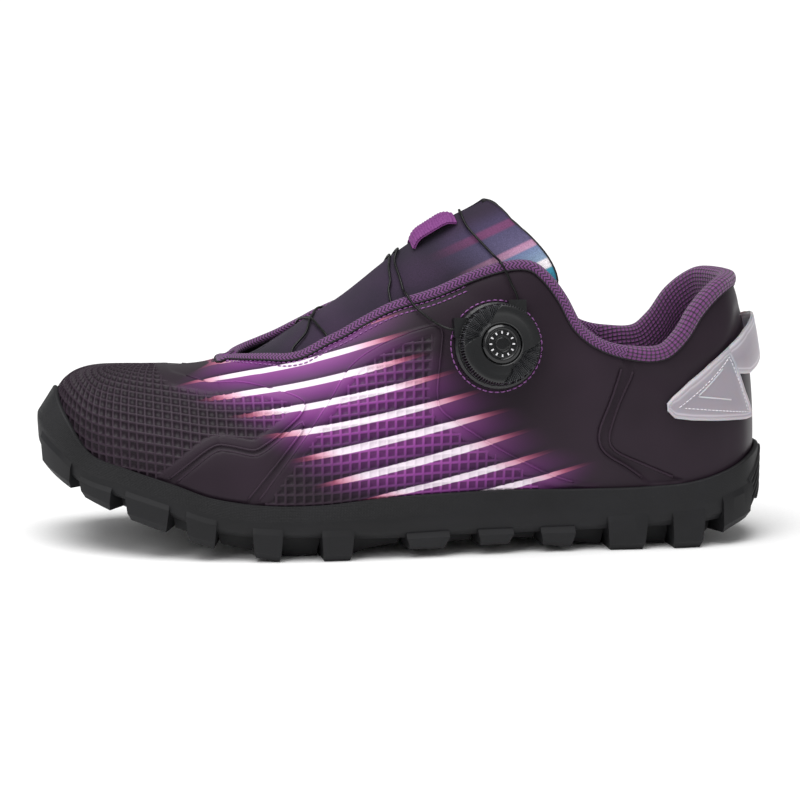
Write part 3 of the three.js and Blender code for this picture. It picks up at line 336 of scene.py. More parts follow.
def tube(path, radius, sides):
    """Closed tube along a path, with radius one number or one for each point."""
    path = np.asarray(path, float)
    course = unit(np.gradient(path, axis=0))
    across = unit(np.cross(course, [0.13, 0.31, 0.94]))
    over = np.cross(across, course)
    turn = np.linspace(0, 2 * math.pi, sides, endpoint=False)
    radius = np.broadcast_to(radius, len(path))[:, None, None]
    spokes = across[:, None] * np.cos(turn)[:, None] + over[:, None] * np.sin(turn)[:, None]
    return capped(path[:, None] + radius * spokes)


STITCH_RISE = np.array([-0.3, 0.25, 0.75, 0.25, -0.3])  # its height from end to end, in radii
STITCH_GIRTH = np.array([0.5, 0.95, 1, 0.95, 0.5])  # its radius from end to end, in radii


def stitches(path, normals, spacing, length, radius, lift):
    """Short threads lying along a path, as one mesh."""
    reach = reached(path)
    parts = []
    for place in np.arange(spacing / 2, reach[-1], spacing):
        ends = [place - length / 2, place, place + length / 2]
        spots = np.stack([np.interp(ends, reach, path[:, k]) for k in range(3)], -1)
        normal = np.array([np.interp(place, reach, normals[:, k]) for k in range(3)])
        line = through(spots, len(STITCH_RISE)) + normal * (STITCH_RISE * radius + lift)[:, None]
        parts.append(tube(line, radius * STITCH_GIRTH, 6))
    return joined(parts)


# Materials
def paint(colour):
    """An sRGB hex colour as linear red, green, blue and 1."""
    channels = [int(colour[k:k + 2], 16) / 255 for k in (1, 3, 5)]
    linear = [c / 12.92 if c <= 0.04045 else ((c + 0.055) / 1.055) ** 2.4 for c in channels]
    return (*linear, 1)


def node(tree, kind, links=None, stops=None, **settings):
    """Adds a node. links gives each socket a value, a node or an output; stops is a ramp's colours."""
    made = tree.nodes.new(kind)
    for name, value in settings.items():
        setattr(made, name, value)
    for socket, value in (links or {}).items():
        if isinstance(value, bpy.types.Node):
            value = next(output for output in value.outputs if output.enabled)
        if isinstance(value, bpy.types.NodeSocket):
            tree.links.new(value, made.inputs[socket])
        else:
            made.inputs[socket].default_value = value
    if stops:
        elements = made.color_ramp.elements
        while len(elements) < len(stops):
            elements.new(0.5)
        for element, (place, colour) in zip(elements, stops):
            element.position = place
            element.color = paint(colour)
    return made


def new_material(name, **sockets):
    """A material with one Principled shader, whose sockets take the given values, and its tree."""
    made = bpy.data.materials.new(name)
    made.use_nodes = True
    shader = made.node_tree.nodes["Principled BSDF"]
    for socket, value in sockets.items():
        shader.inputs[socket.replace("_", " ").title().replace("Ior", "IOR")].default_value = value
    return made, made.node_tree, shader


def dress(tree, shader, colour, height, strength, depth):
    """Links a colour and a height, depth millimetres from low to high, to the shader."""
    bump = node(tree, "ShaderNodeBump", {
        "Height": height.outputs[0], "Strength": strength, "Distance": depth * MM})
    tree.links.new(colour.outputs[0], shader.inputs["Base Color"])
    tree.links.new(bump.outputs[0], shader.inputs["Normal"])


def per_mm(size):
    """Scale of a pattern, in object metres, whose features are size millimetres apart."""
    return 1 / (size * MM)


def printed_film():
    """TPU film pressed hot over mesh and printed: satin, streaks of ink over plum, a faint leathery grain,
    with painted light on the relief's ribs and painted shade on the floors of its cells.
    """
    made, tree, shader = new_material("printed_tpu_film", roughness=0.42, ior=1.5, specular_ior_level=0.15)
    row, glow, fade, cell = (
        node(tree, "ShaderNodeAttribute", attribute_name=name).outputs["Fac"]
        for name in ("row", "glow", "fade", "cell"))
    place = node(tree, "ShaderNodeTexCoord").outputs["Object"]
    cloud = node(tree, "ShaderNodeTexNoise", {"Vector": place, "Scale": per_mm(40), "Detail": 2})
    plain = node(tree, "ShaderNodeValToRGB", {"Fac": cloud}, [(0.3, "#271e26"), (0.7, "#312630")])
    below = node(tree, "ShaderNodeMath", {0: row}, operation="FRACT")
    between = node(tree, "ShaderNodeValToRGB", {"Fac": below}, [
        (0.00, "#7a3a7c"), (0.14, "#8f4a90"), (0.45, "#77387c"), (0.70, "#5c2f62"), (0.80, "#412646"),
        (0.93, "#52295a")])
    ground = node(tree, "ShaderNodeMixRGB", {"Fac": glow, "Color1": plain, "Color2": between})
    middle = node(tree, "ShaderNodeValToRGB", {"Fac": below}, [
        (0, "#ffffff"), (0.5, "#000000"), (1, "#ffffff")])
    width = node(tree, "ShaderNodeMath", {0: fade, 1: 0.12, 2: middle}, operation="MULTIPLY_ADD")
    streak = node(tree, "ShaderNodeMapRange", {"Value": width, "From Min": 0.83, "From Max": 0.88})
    strength = node(tree, "ShaderNodeMath", {0: fade, 1: 2.2}, operation="MULTIPLY", use_clamp=True)
    shown = node(tree, "ShaderNodeMath", {0: streak, 1: strength}, operation="MULTIPLY")
    ink = node(tree, "ShaderNodeValToRGB", {"Fac": fade}, [
        (0.00, "#8a3a54"), (0.30, "#bb6680"), (0.62, "#e2aec4"), (0.90, "#f4e6f2")])
    # Painted light and shade of the relief: the cell field scales the ground from 0.6 on the cells' floors
    # (painted shade) to 1.3 on the ribs (painted light); the ink over it keeps its own colour.
    shade = node(tree, "ShaderNodeMapRange", {"Value": cell, "To Min": 0.6, "To Max": 1.3})
    shaded = node(tree, "ShaderNodeVectorMath", {0: ground, "Scale": shade}, operation="SCALE")
    whole = node(tree, "ShaderNodeMixRGB", {"Fac": shown, "Color1": shaded, "Color2": ink})
    grain = node(tree, "ShaderNodeTexNoise", {"Vector": place, "Scale": per_mm(0.5), "Detail": 3})
    dress(tree, shader, whole, grain, 0.12, 0.1)
    return made


def knitted(name, colour, dark, along, around, depth):
    """Knitted polyester in small raised blocks: matt, with painted shade in the gaps between the loops."""
    made, tree, shader = new_material(name, roughness=0.85, sheen_weight=0.25, sheen_roughness=0.5)
    waves = []
    for axis, size in (("along", along), ("around", around)):
        reach = node(tree, "ShaderNodeAttribute", attribute_name=axis).outputs["Fac"]
        turn = node(tree, "ShaderNodeMath", {0: reach, 1: math.pi / size}, operation="MULTIPLY")
        wave = node(tree, "ShaderNodeMath", {0: turn}, operation="SINE")
        waves.append(node(tree, "ShaderNodeMath", {0: wave}, operation="ABSOLUTE"))
    crossed = node(tree, "ShaderNodeMath", dict(enumerate(waves)), operation="MULTIPLY")
    block = node(tree, "ShaderNodeMath", {0: crossed, 1: 0.45}, operation="POWER")
    place = node(tree, "ShaderNodeTexCoord").outputs["Object"]
    fibre = node(tree, "ShaderNodeTexNoise", {"Vector": place, "Scale": per_mm(0.3), "Detail": 3})
    lit = node(tree, "ShaderNodeMath", {0: fibre, 1: 0.35, 2: block}, operation="MULTIPLY_ADD")
    # Painted shade: the low gaps between the blocks take the darker colour, the blocks' tops the lighter one.
    tone = node(tree, "ShaderNodeValToRGB", {"Fac": lit}, [(0.45, dark), (1.0, colour)])
    dress(tree, shader, tone, lit, 1.0, depth)
    return made


def braided():
    """Braided polyester binding: yarns cross in herringbone, each yarn's crest painted light and the trough
    beside it painted shade, so light and dark strokes run both ways.
    """
    made, tree, shader = new_material("braided_binding", roughness=0.75, sheen_weight=0.2)
    along, around = (
        node(tree, "ShaderNodeAttribute", attribute_name=name).outputs["Fac"] for name in ("along", "around"))
    lean = node(tree, "ShaderNodeMath", {0: around, 1: 1.3}, operation="PINGPONG")
    slanted = node(tree, "ShaderNodeMath", {0: along, 1: lean}, operation="ADD")
    turn = node(tree, "ShaderNodeMath", {0: slanted, 1: math.pi / 1.5}, operation="MULTIPLY")
    wave = node(tree, "ShaderNodeMath", {0: turn}, operation="SINE")
    yarn = node(tree, "ShaderNodeMath", {0: wave}, operation="ABSOLUTE")
    # Painted light and shade: the yarns' crests take the light colours, the troughs between them the dark.
    tone = node(tree, "ShaderNodeValToRGB", {"Fac": yarn}, [
        (0.15, "#1e0a20"), (0.5, "#4c2350"), (0.95, "#74407a")])
    dress(tree, shader, tone, yarn, 1.0, 0.3)
    return made


def stretch_knit():
    """Fine stretch knit, dyed in bands: navy plum with streaks that turn white and teal towards the back."""
    made, tree, shader = new_material("stretch_knit", roughness=0.8, specular_ior_level=0.3, sheen_weight=0.1)
    band, glow = (
        node(tree, "ShaderNodeAttribute", attribute_name=name).outputs["Fac"] for name in ("band", "glow"))
    place = node(tree, "ShaderNodeTexCoord").outputs["Object"]
    weave = node(tree, "ShaderNodeTexNoise", {"Vector": place, "Scale": per_mm(0.35), "Detail": 2})
    cloud = node(tree, "ShaderNodeTexNoise", {"Vector": place, "Scale": per_mm(22), "Detail": 1})
    plain = node(tree, "ShaderNodeValToRGB", {"Fac": cloud}, [(0.35, "#1a1424"), (0.7, "#301f38")])
    streaks = node(tree, "ShaderNodeValToRGB", {"Fac": band}, [
        (0.00, "#2a2138"), (0.27, "#3f3454"), (0.29, "#6c3a62"), (0.335, "#6c3a62"), (0.355, "#4a4464"),
        (0.50, "#5b5475"), (0.515, "#ae7f9f"), (0.56, "#b98eab"), (0.575, "#6d7ba0"), (0.695, "#8ba2bd"),
        (0.71, "#f4eef2"), (0.775, "#f4eef2"), (0.79, "#3f93ab"), (0.90, "#2f7f99"), (0.915, "#f6f2f4")])
    tone = node(tree, "ShaderNodeMixRGB", {"Fac": glow, "Color1": plain, "Color2": streaks})
    speck = node(tree, "ShaderNodeMapRange", {"Value": weave, "From Min": 0.3, "From Max": 0.7, "To Min": 0.7,
                                              "To Max": 1.25})
    whole = node(tree, "ShaderNodeVectorMath", {0: tone, "Scale": speck}, operation="SCALE")
    dress(tree, shader, whole, weave, 0.5, 0.15)
    return made


def rubber():
    """Moulded black rubber: matt, a little dusty, with a fine cross-hatch on the upper half of the wall."""
    made, tree, shader = new_material("moulded_rubber", ior=1.52, specular_ior_level=0.3)
    along, around, hatch = (
        node(tree, "ShaderNodeAttribute", attribute_name=name).outputs["Fac"]
        for name in ("along", "around", "hatch"))
    lines = []
    for operation in ("ADD", "SUBTRACT"):
        slanted = node(tree, "ShaderNodeMath", {0: along, 1: around}, operation=operation)
        turn = node(tree, "ShaderNodeMath", {0: slanted, 1: math.pi / 0.6}, operation="MULTIPLY")
        lines.append(node(tree, "ShaderNodeMath", {0: turn}, operation="SINE"))
    crossed = node(tree, "ShaderNodeMath", dict(enumerate(lines)), operation="MULTIPLY")
    knurl = node(tree, "ShaderNodeMath", {0: crossed, 1: hatch}, operation="MULTIPLY")
    place = node(tree, "ShaderNodeTexCoord").outputs["Object"]
    grain = node(tree, "ShaderNodeTexNoise", {"Vector": place, "Scale": per_mm(0.6), "Detail": 4})
    height = node(tree, "ShaderNodeMath", {0: grain, 1: 0.35, 2: knurl}, operation="MULTIPLY_ADD")
    dust = node(tree, "ShaderNodeTexNoise", {"Vector": place, "Scale": per_mm(25), "Detail": 4})
    tone = node(tree, "ShaderNodeValToRGB", {"Fac": dust}, [(0.35, "#121214"), (0.7, "#1b1b1e")])
    gloss = node(tree, "ShaderNodeMapRange", {"Value": dust, "To Min": 0.52, "To Max": 0.7})
    tree.links.new(gloss.outputs[0], shader.inputs["Roughness"])
    dress(tree, shader, tone, height, 0.8, 0.16)
    return made


def speckled(name, low, high, size, depth, roughness, **sockets):
    """A finish broken up only by its own grain, of the given size in millimetres."""
    made, tree, shader = new_material(name, roughness=roughness, **sockets)
    place = node(tree, "ShaderNodeTexCoord").outputs["Object"]
    grain = node(tree, "ShaderNodeTexNoise", {"Vector": place, "Scale": per_mm(size), "Detail": 3})
    tone = node(tree, "ShaderNodeValToRGB", {"Fac": grain}, [(0.35, low), (0.65, high)])
    dress(tree, shader, tone, grain, 0.5, depth)
    return made


def cast_tpu():
    """Cast clear TPU, gone milky: soft light comes through it, and its thick border is painted palest at the
    rounded outer edge, a painted highlight, with a second pale line two millimetres in.
    """
    made, tree, shader = new_material("milky_cast_tpu", roughness=0.32, ior=1.5, transmission_weight=0.3,
                                      subsurface_weight=0.25, subsurface_scale=2 * MM)
    border = node(tree, "ShaderNodeAttribute", attribute_name="border").outputs["Fac"]
    place = node(tree, "ShaderNodeTexCoord").outputs["Object"]
    cloud = node(tree, "ShaderNodeTexNoise", {"Vector": place, "Scale": per_mm(12), "Detail": 2})
    inward = node(tree, "ShaderNodeMapRange", {"Value": border, "From Max": 6})
    # White at the outer edge is a painted highlight on its rounding; the tones grey inwards, with one pale
    # line again near 2 mm.
    tone = node(tree, "ShaderNodeValToRGB", {"Fac": inward}, [
        (0.00, "#efeaf0"), (0.12, "#dcd6de"), (0.25, "#bdb5bf"), (0.33, "#e6e0e8"), (0.45, "#bfb7c1"),
        (1.00, "#b4abb6")])
    dress(tree, shader, tone, cloud, 0.05, 0.3)
    return made


def ribbed_nylon():
    """Moulded nylon of the knob: satin black, with a painted highlight on the tops of its ribs and teeth and
    painted shade in the grooves between them.
    """
    made, tree, shader = new_material("ribbed_nylon", roughness=0.33, ior=1.53)
    painted_rib_light_and_shade = node(tree, "ShaderNodeAttribute", attribute_name="painted_rib_light_and_shade").outputs["Fac"]
    place = node(tree, "ShaderNodeTexCoord").outputs["Object"]
    grain = node(tree, "ShaderNodeTexNoise", {"Vector": place, "Scale": per_mm(0.4), "Detail": 2})
    # Painted light and shade: tops of ribs and teeth pale, grooves darkest.
    tone = node(tree, "ShaderNodeValToRGB", {"Fac": painted_rib_light_and_shade}, [
        (0, "#040405"), (0.5, "#101113"), (1, "#55565a")])
    dress(tree, shader, tone, grain, 0.05, 0.1)
    return made


FILM = printed_film()
# Brushed tricot behind the film: dark and matt.
BACKING = speckled("brushed_tricot_backing", "#26222a", "#332d37", 0.5, 0.15, 0.9)
KNIT = knitted("waffle_knit_lining", "#733a76", "#170919", 1.9, 1.6, 0.5)
BRAID = braided()
STRETCH = stretch_knit()
RUBBER = rubber()
COVER = knitted("insole_cover_cloth", "#3a3140", "#221c28", 1.2, 1.2, 0.2)
# Glass-filled nylon, injection moulded: near black, fine matt texture with a soft sheen.
NYLON = speckled("moulded_nylon", "#0f1012", "#18191b", 0.4, 0.05, 0.33, ior=1.53)
RIBBED = ribbed_nylon()
# The same nylon from a polished mould: the cap's rings catch clear highlights.
GLOSS = speckled("polished_nylon", "#0b0c0e", "#111214", 2.0, 0.01, 0.2, ior=1.53)
# Nylon-coated steel rope: black, with the strands showing as a fine twist of light.
COATED = speckled("nylon_coated_steel_cord", "#040404", "#101010", 0.35, 0.12, 0.35, ior=1.53,
                   specular_ior_level=0.25)
CAST = cast_tpu()
# Twisted polyester thread, in two dyes: the twist breaks its colour up.
THREAD = speckled("purple_polyester_thread", "#6c3676", "#a56aac", 0.5, 0.1, 0.5)
PALE_THREAD = speckled("white_polyester_thread", "#d9d3da", "#f4f0f5", 0.5, 0.1, 0.5)
# Woven nylon grosgrain: a little sheen on its ribs.
RIBBON = speckled("grosgrain_ribbon", "#6c3070", "#8a488a", 0.45, 0.12, 0.65, specular_ior_level=0.3)
# Knitted edge binding: dark and matt.
BINDING = speckled("black_edge_binding", "#0c0a0e", "#181219", 0.6, 0.15, 0.7)
# Pad-printed ink: flat and a little chalky.
INK = speckled("pad_printed_ink", "#d8d8da", "#ececee", 0.3, 0.01, 0.5)

# The upper's print in the side view: each streak's line from its front end to its back end, top streak first.
STREAKS = (
    ((0.252, 0.511), (0.262, 0.517), (0.280, 0.530), (0.300, 0.545)),
    ((0.208, 0.485), (0.235, 0.496), (0.391, 0.602), (0.500, 0.680)),
    ((0.180, 0.451), (0.319, 0.512), (0.417, 0.571), (0.505, 0.625)),
    ((0.206, 0.420), (0.307, 0.453), (0.405, 0.502), (0.524, 0.565)),
    ((0.250, 0.384), (0.379, 0.427), (0.519, 0.495), (0.562, 0.517)),
    ((0.288, 0.337), (0.410, 0.369), (0.518, 0.425), (0.598, 0.461)),
    ((0.326, 0.273), (0.412, 0.304), (0.518, 0.355), (0.636, 0.408)),
    ((0.358, 0.202), (0.462, 0.246), (0.554, 0.291), (0.664, 0.350)),
    ((0.415, 0.160), (0.518, 0.195), (0.605, 0.241), (0.696, 0.290)),
    ((0.520, 0.150), (0.600, 0.178), (0.657, 0.198), (0.750, 0.254)),
)
STREAK_FRONT = 26  # a streak turns from red to white over this length at its front end
STREAK_BACK = 34  # and back again at its other end
STREAK_HELD = 0.03  # past this share of LENGTH from its ends, a streak's curve runs on straight
ROW_ABOVE = 6  # height of a row above the top streak
ROW_BELOW = 9  # and below the lowest one
ROW_LEAST = 0.8  # between streaks that would meet
GLOW_EARLY = 4  # the purple begins this far outside the streaks
GLOW_FRONT = 34  # and comes up over this length at the front
GLOW_BACK = 44  # and over this one at the back


def print_fields(x, z):
    """Row of the print, how bright its purple is and how white its streak, at places in the side view."""
    lines = np.array(STREAKS)
    fits = [np.polyfit(line[:, 0], line[:, 1], 2) for line in lines]
    at = x / LENGTH + 0.5
    heights = []
    for line, fit in zip(lines, fits):
        held = np.clip(at, line[0, 0] - STREAK_HELD, line[-1, 0] + STREAK_HELD)
        slope = np.polyval(np.polyder(fit), held)
        heights.append((np.polyval(fit, held) + slope * (at - held)) * INSTEP_HEIGHT)
    heights = np.array(heights)
    count = len(lines)
    row = np.full(at.shape, -1.0)
    row = np.where(z > heights[0], -(z - heights[0]) / ROW_ABOVE, row)
    for k in range(count - 1):
        apart = np.maximum(heights[k] - heights[k + 1], ROW_LEAST)
        row = np.where(z <= heights[k], k + np.minimum((heights[k] - z) / apart, 1), row)
    row = np.where(z < heights[-1], count - 1 + (heights[-1] - z) / ROW_BELOW, row)
    front = np.interp(row, range(count), (lines[:, 0, 0] - 0.5) * LENGTH)
    back = np.interp(row, range(count), (lines[:, -1, 0] - 0.5) * LENGTH)
    fade = smooth((x - front) / STREAK_FRONT) * smooth((back - x) / STREAK_BACK)
    fade = np.where((row < -0.5) | (row > count - 0.5), 0, fade)
    glow = smooth((x - front + GLOW_EARLY) / GLOW_FRONT) * smooth((back - x + GLOW_EARLY) / GLOW_BACK)
    glow = glow * smooth((row + 1.5) / 1.2)
    return {"row": row, "glow": glow, "fade": fade}


# Raised panels and the sunk channel of the upper in the side view. They follow the solids', but the channel's
# top runs on past the upper's edge.
PANEL_STEP = 0.7
PANEL_EASE = 1.2  # width of the slope at its border
CHANNEL_STEP = 1.3 * PANEL_STEP
TOE_PANEL = (
    (-0.029, 0.20), (-0.029, 0.60), (0.158, 0.60), (0.170, 0.484), (0.204, 0.473), (0.231, 0.462),
    (0.271, 0.472), (0.306, 0.462), (0.335, 0.449), (0.351, 0.434), (0.353, 0.422), (0.344, 0.392),
    (0.316, 0.343), (0.294, 0.312), (0.283, 0.301), (0.256, 0.312), (0.231, 0.318), (0.174, 0.226),
    (0.120, 0.130), (0.060, -0.20), (-0.029, -0.20),
)
WING_PANEL = (
    (0.134, 0.120), (0.180, 0.212), (0.233, 0.303), (0.256, 0.298), (0.284, 0.286), (0.297, 0.298),
    (0.322, 0.339), (0.349, 0.384), (0.350, 0.362), (0.314, 0.271), (0.271, 0.163), (0.250, 0.100),
    (0.150, -0.10),
)
MID_PANEL = (
    (0.262, 0.100), (0.289, 0.168), (0.318, 0.250), (0.348, 0.330), (0.371, 0.395), (0.389, 0.447),
    (0.409, 0.514), (0.430, 0.551), (0.465, 0.592), (0.500, 0.620), (0.530, 0.638), (0.539, 0.622),
    (0.534, 0.545), (0.529, 0.470), (0.530, 0.418), (0.542, 0.390), (0.616, 0.291), (0.700, 0.201),
    (0.784, 0.170), (0.850, -0.10), (0.240, -0.10),
)
HEEL_CHANNEL = (
    (0.786, 0.700), (0.786, 0.539), (0.781, 0.500), (0.769, 0.422), (0.753, 0.343), (0.753, 0.301),
    (0.764, 0.270), (0.800, 0.228), (0.846, 0.150), (0.886, 0.150), (0.880, 0.185), (0.849, 0.211),
    (0.811, 0.245), (0.778, 0.275), (0.767, 0.301), (0.767, 0.333), (0.779, 0.413), (0.797, 0.491),
    (0.802, 0.539), (0.802, 0.700),
)
# Soft troughs of the upper: from and to in the side view, their width and depth
CREASES = (
    {"start": (0.957, 0.655), "end": (0.938, 0.560), "width": 5.0, "depth": 0.55},
    {"start": (0.938, 0.560), "end": (0.885, 0.500), "width": 5.0, "depth": 0.45},
    {"start": (0.560, 0.730), "end": (0.680, 0.640), "width": 9.0, "depth": 0.35},
    {"start": (0.300, 0.500), "end": (0.360, 0.520), "width": 6.0, "depth": 0.30},
    {"start": (0.820, 0.500), "end": (0.900, 0.440), "width": 9.0, "depth": 0.30},
)


def side_view(outline):
    """Millimetres in the side view from shares of LENGTH and INSTEP_HEIGHT."""
    return np.array([((at - 0.5) * LENGTH, high * INSTEP_HEIGHT) for at, high in outline])


def rounded(corners):
    """An outline with its corners cut twice."""
    for _ in range(2):
        after = np.roll(corners, -1, axis=0)
        corners = np.stack([0.8 * corners + 0.2 * after, 0.2 * corners + 0.8 * after], 1).reshape(-1, 2)
    return corners


def line_distance(x, z, start, end):
    """How far places are from a straight line between two points."""
    (ax, az), (bx, bz) = start, end
    ex, ez = bx - ax, bz - az
    t = np.clip(((x - ax) * ex + (z - az) * ez) / (ex * ex + ez * ez), 0, 1)
    return np.hypot(x - ax - t * ex, z - az - t * ez)


def inside_distance(x, z, outline):
    """How far places of the side view lie inside an outline; negative outside it."""
    corners = rounded(side_view(outline))
    best = np.full(np.shape(x), np.inf)
    inside = np.zeros(np.shape(x), bool)
    for a, b in zip(corners, np.roll(corners, -1, axis=0)):
        best = np.minimum(best, line_distance(x, z, a, b))
        if a[1] != b[1]:
            inside ^= ((a[1] > z) != (b[1] > z)) & (x < a[0] + (z - a[1]) * (b[0] - a[0]) / (b[1] - a[1]))
    return np.where(inside, best, -best)


# Square relief of the toe and side panels
CELL = 3.65  # pitch of its ribs
CELL_STEPS = (-0.075, 0.075, 0.19, 0.81)  # rib, then the floor of a cell, as shares of the pitch
CELL_ON_RIB = (True, True, False, False)
CELL_DEPTH = 0.62
CELL_MARGIN = 3.2  # plain border round the relief
CELL_EASE = 1.5  # width of the slope down from the border
CELL_UNDER = 0.25  # the shell keeps this far below the floors of the cells
GRID_COLUMNS = 62
GRID_ROWS = (-8, 62)
GRID_DROP = 0.6  # how much of the rim's fall behind the toe its rows follow
GRID_EASE = 14  # its columns bend towards the crown's front over this length
GRID_LEAN = 0.8  # exponent of their course from the sole to the crown
GRID_TUCK = 1.4  # it runs on this far under the slope of the border
GRID_SUNK = 0.03  # its ribs keep this far below the border


def relief(x, z):
    """Height of the moulded upper over its plain skin."""
    toe, wing, mid = (inside_distance(x, z, outline) for outline in (TOE_PANEL, WING_PANEL, MID_PANEL))
    channel = inside_distance(x, z, HEEL_CHANNEL)
    raised = smooth(np.maximum(np.maximum(toe, wing), mid) / PANEL_EASE + 0.5)
    sunk = smooth(channel / PANEL_EASE + 0.5)
    cut = smooth((np.maximum(toe, mid) - CELL_MARGIN) / CELL_EASE)
    height = PANEL_STEP * raised - CHANNEL_STEP * sunk - (CELL_DEPTH + CELL_UNDER) * cut
    for crease in CREASES:
        start, end = side_view((crease["start"], crease["end"]))
        away = line_distance(x, z, start, end)
        height = height - crease["depth"] * np.exp(-(away / (0.5 * crease["width"])) ** 2)
    return height


def rib_place(x, z, medial=False):
    """Rib and height of a place in the side view, on one side of the shoe."""
    ribs = BACK - FINE_RIBS if medial else FINE_RIBS
    phi = phi_at(FINE_ROWS, z)
    passed = np.argmax(skin(ribs, phi)[:, 0] > x)
    return ribs[passed], phi[passed]


RIDGE_RADIUS = 0.42
RIDGE_LIFT = 0.45
RIDGE_STEP = 1.6  # between the points of its path
RIDGE_LEAST = 4  # points of the shortest run that is kept


def ridges():
    """Thin moulded lines along the borders of the panels and the channel, on both sides."""
    parts = []
    for outline in (TOE_PANEL, WING_PANEL, MID_PANEL, HEEL_CHANNEL):
        corners = rounded(side_view(outline))
        corners = np.concatenate([corners, corners[:1]])
        reach = reached(corners)
        at = np.linspace(0, reach[-1], round(reach[-1] / RIDGE_STEP))
        line = np.stack([np.interp(at, reach, corners[:, k]) for k in (0, 1)], 1)
        for medial in (False, True):
            u, phi = np.array([rib_place(x, z, medial) for x, z in line]).T
            path = off_skin(u, phi, RIDGE_LIFT)
            shown = (phi > rim_phi(u) + 0.02) & (phi < np.minimum(edge_phi(u) - 0.04, 1.3))
            shown &= np.abs(path[:, 0] - line[:, 0]) < 1.5
            runs = np.split(np.arange(len(u)), np.flatnonzero(np.diff(shown)) + 1)
            parts += [tube(path[run], RIDGE_RADIUS, 6) for run in runs
                      if shown[run[0]] and len(run) > RIDGE_LEAST]
    points, faces = joined(parts)
    fields = print_fields(points[:, 0], points[:, 2])
    # cell 1 paints the ridges lighter than the film round them: a painted highlight.
    fields["cell"] = np.ones(len(points))
    piece("upper_ridges", points, faces, FILM, fields=fields)


EDGE_TURN = {"depth": 0.7, "over": 1.8}  # how far the shell's edge turns in, and over what height
SHELL_STEP = 1.06  # between its columns of points
SHELL_ROWS = {"outside": 100, "inside": 14}


def upper():
    """Moulded shell of the upper: its outer skin with the panels, and a plain inside."""
    columns = stations(SHELL_STEP)
    levels, inner_levels = SHELL_ROWS["outside"], SHELL_ROWS["inside"]
    top = edge_phi(columns)
    share = np.linspace(0, 1, levels + 1)
    phi = top[:, None] * share
    plain, _, _, speed, normal = skin_frame(columns[:, None], phi)
    x, z = plain[..., 0], plain[..., 2]
    from_edge = np.where(top[:, None] < QUARTER, (top[:, None] - phi) * speed, 99)
    over_lip = smooth((phi - rim_phi(columns)[:, None]) * speed)
    height = relief(x, z) * over_lip - EDGE_TURN["depth"] * np.exp(-from_edge / EDGE_TURN["over"])
    outer = plain + normal * height[..., None]
    inner_phi = top[:, None] * np.linspace(0, 1, inner_levels + 1)
    inner = off_skin(columns[:, None], inner_phi, -UPPER_WALL)
    count, size, inner_size = len(columns), levels + 1, inner_levels + 1
    faces = [tuple(face) for face in grid_faces(count, size, loop_rows=True)]
    first = count * size
    outside = len(faces)
    faces += [tuple(face[::-1]) for face in grid_faces(count, inner_size, loop_rows=True, first=first)]
    for i in range(count):
        after = (i + 1) % count
        low = (i * size, after * size, first + after * inner_size, first + i * inner_size)
        faces.append(low[::-1])
        if top[i] < QUARTER or top[after] < QUARTER:
            faces.append((i * size + levels, after * size + levels,
                          first + after * inner_size + inner_levels, first + i * inner_size + inner_levels))
    fields = {name: np.concatenate([values.ravel(), np.zeros(inner[..., 0].size)])
              for name, values in print_fields(x, z).items()}
    # 0.5 keeps the plain skin near its own colour, between the painted light of the ribs and the painted
    # shade of the cells' floors.
    fields["cell"] = np.full(x.size + inner[..., 0].size, 0.5)
    points = np.concatenate([outer.reshape(-1, 3), inner.reshape(-1, 3)])
    made = piece("upper_shell", points, faces, (FILM, BACKING), ["upper"], fields)
    inside = np.arange(len(faces)) >= outside
    made.data.polygons.foreach_set("material_index", inside.astype(np.int32))
    weld(made.data)


def grid_place(foot, crown, turn):
    """Rib and height on a column of the relief, where turn goes from 0 at the sole over the crown to 2."""
    phi = QUARTER * np.minimum(turn, 2 - turn)
    u = foot + (crown - foot) * (1 - np.maximum(np.cos(phi), 0) ** GRID_LEAN)
    return np.where(turn <= 1, u, BACK - u), phi


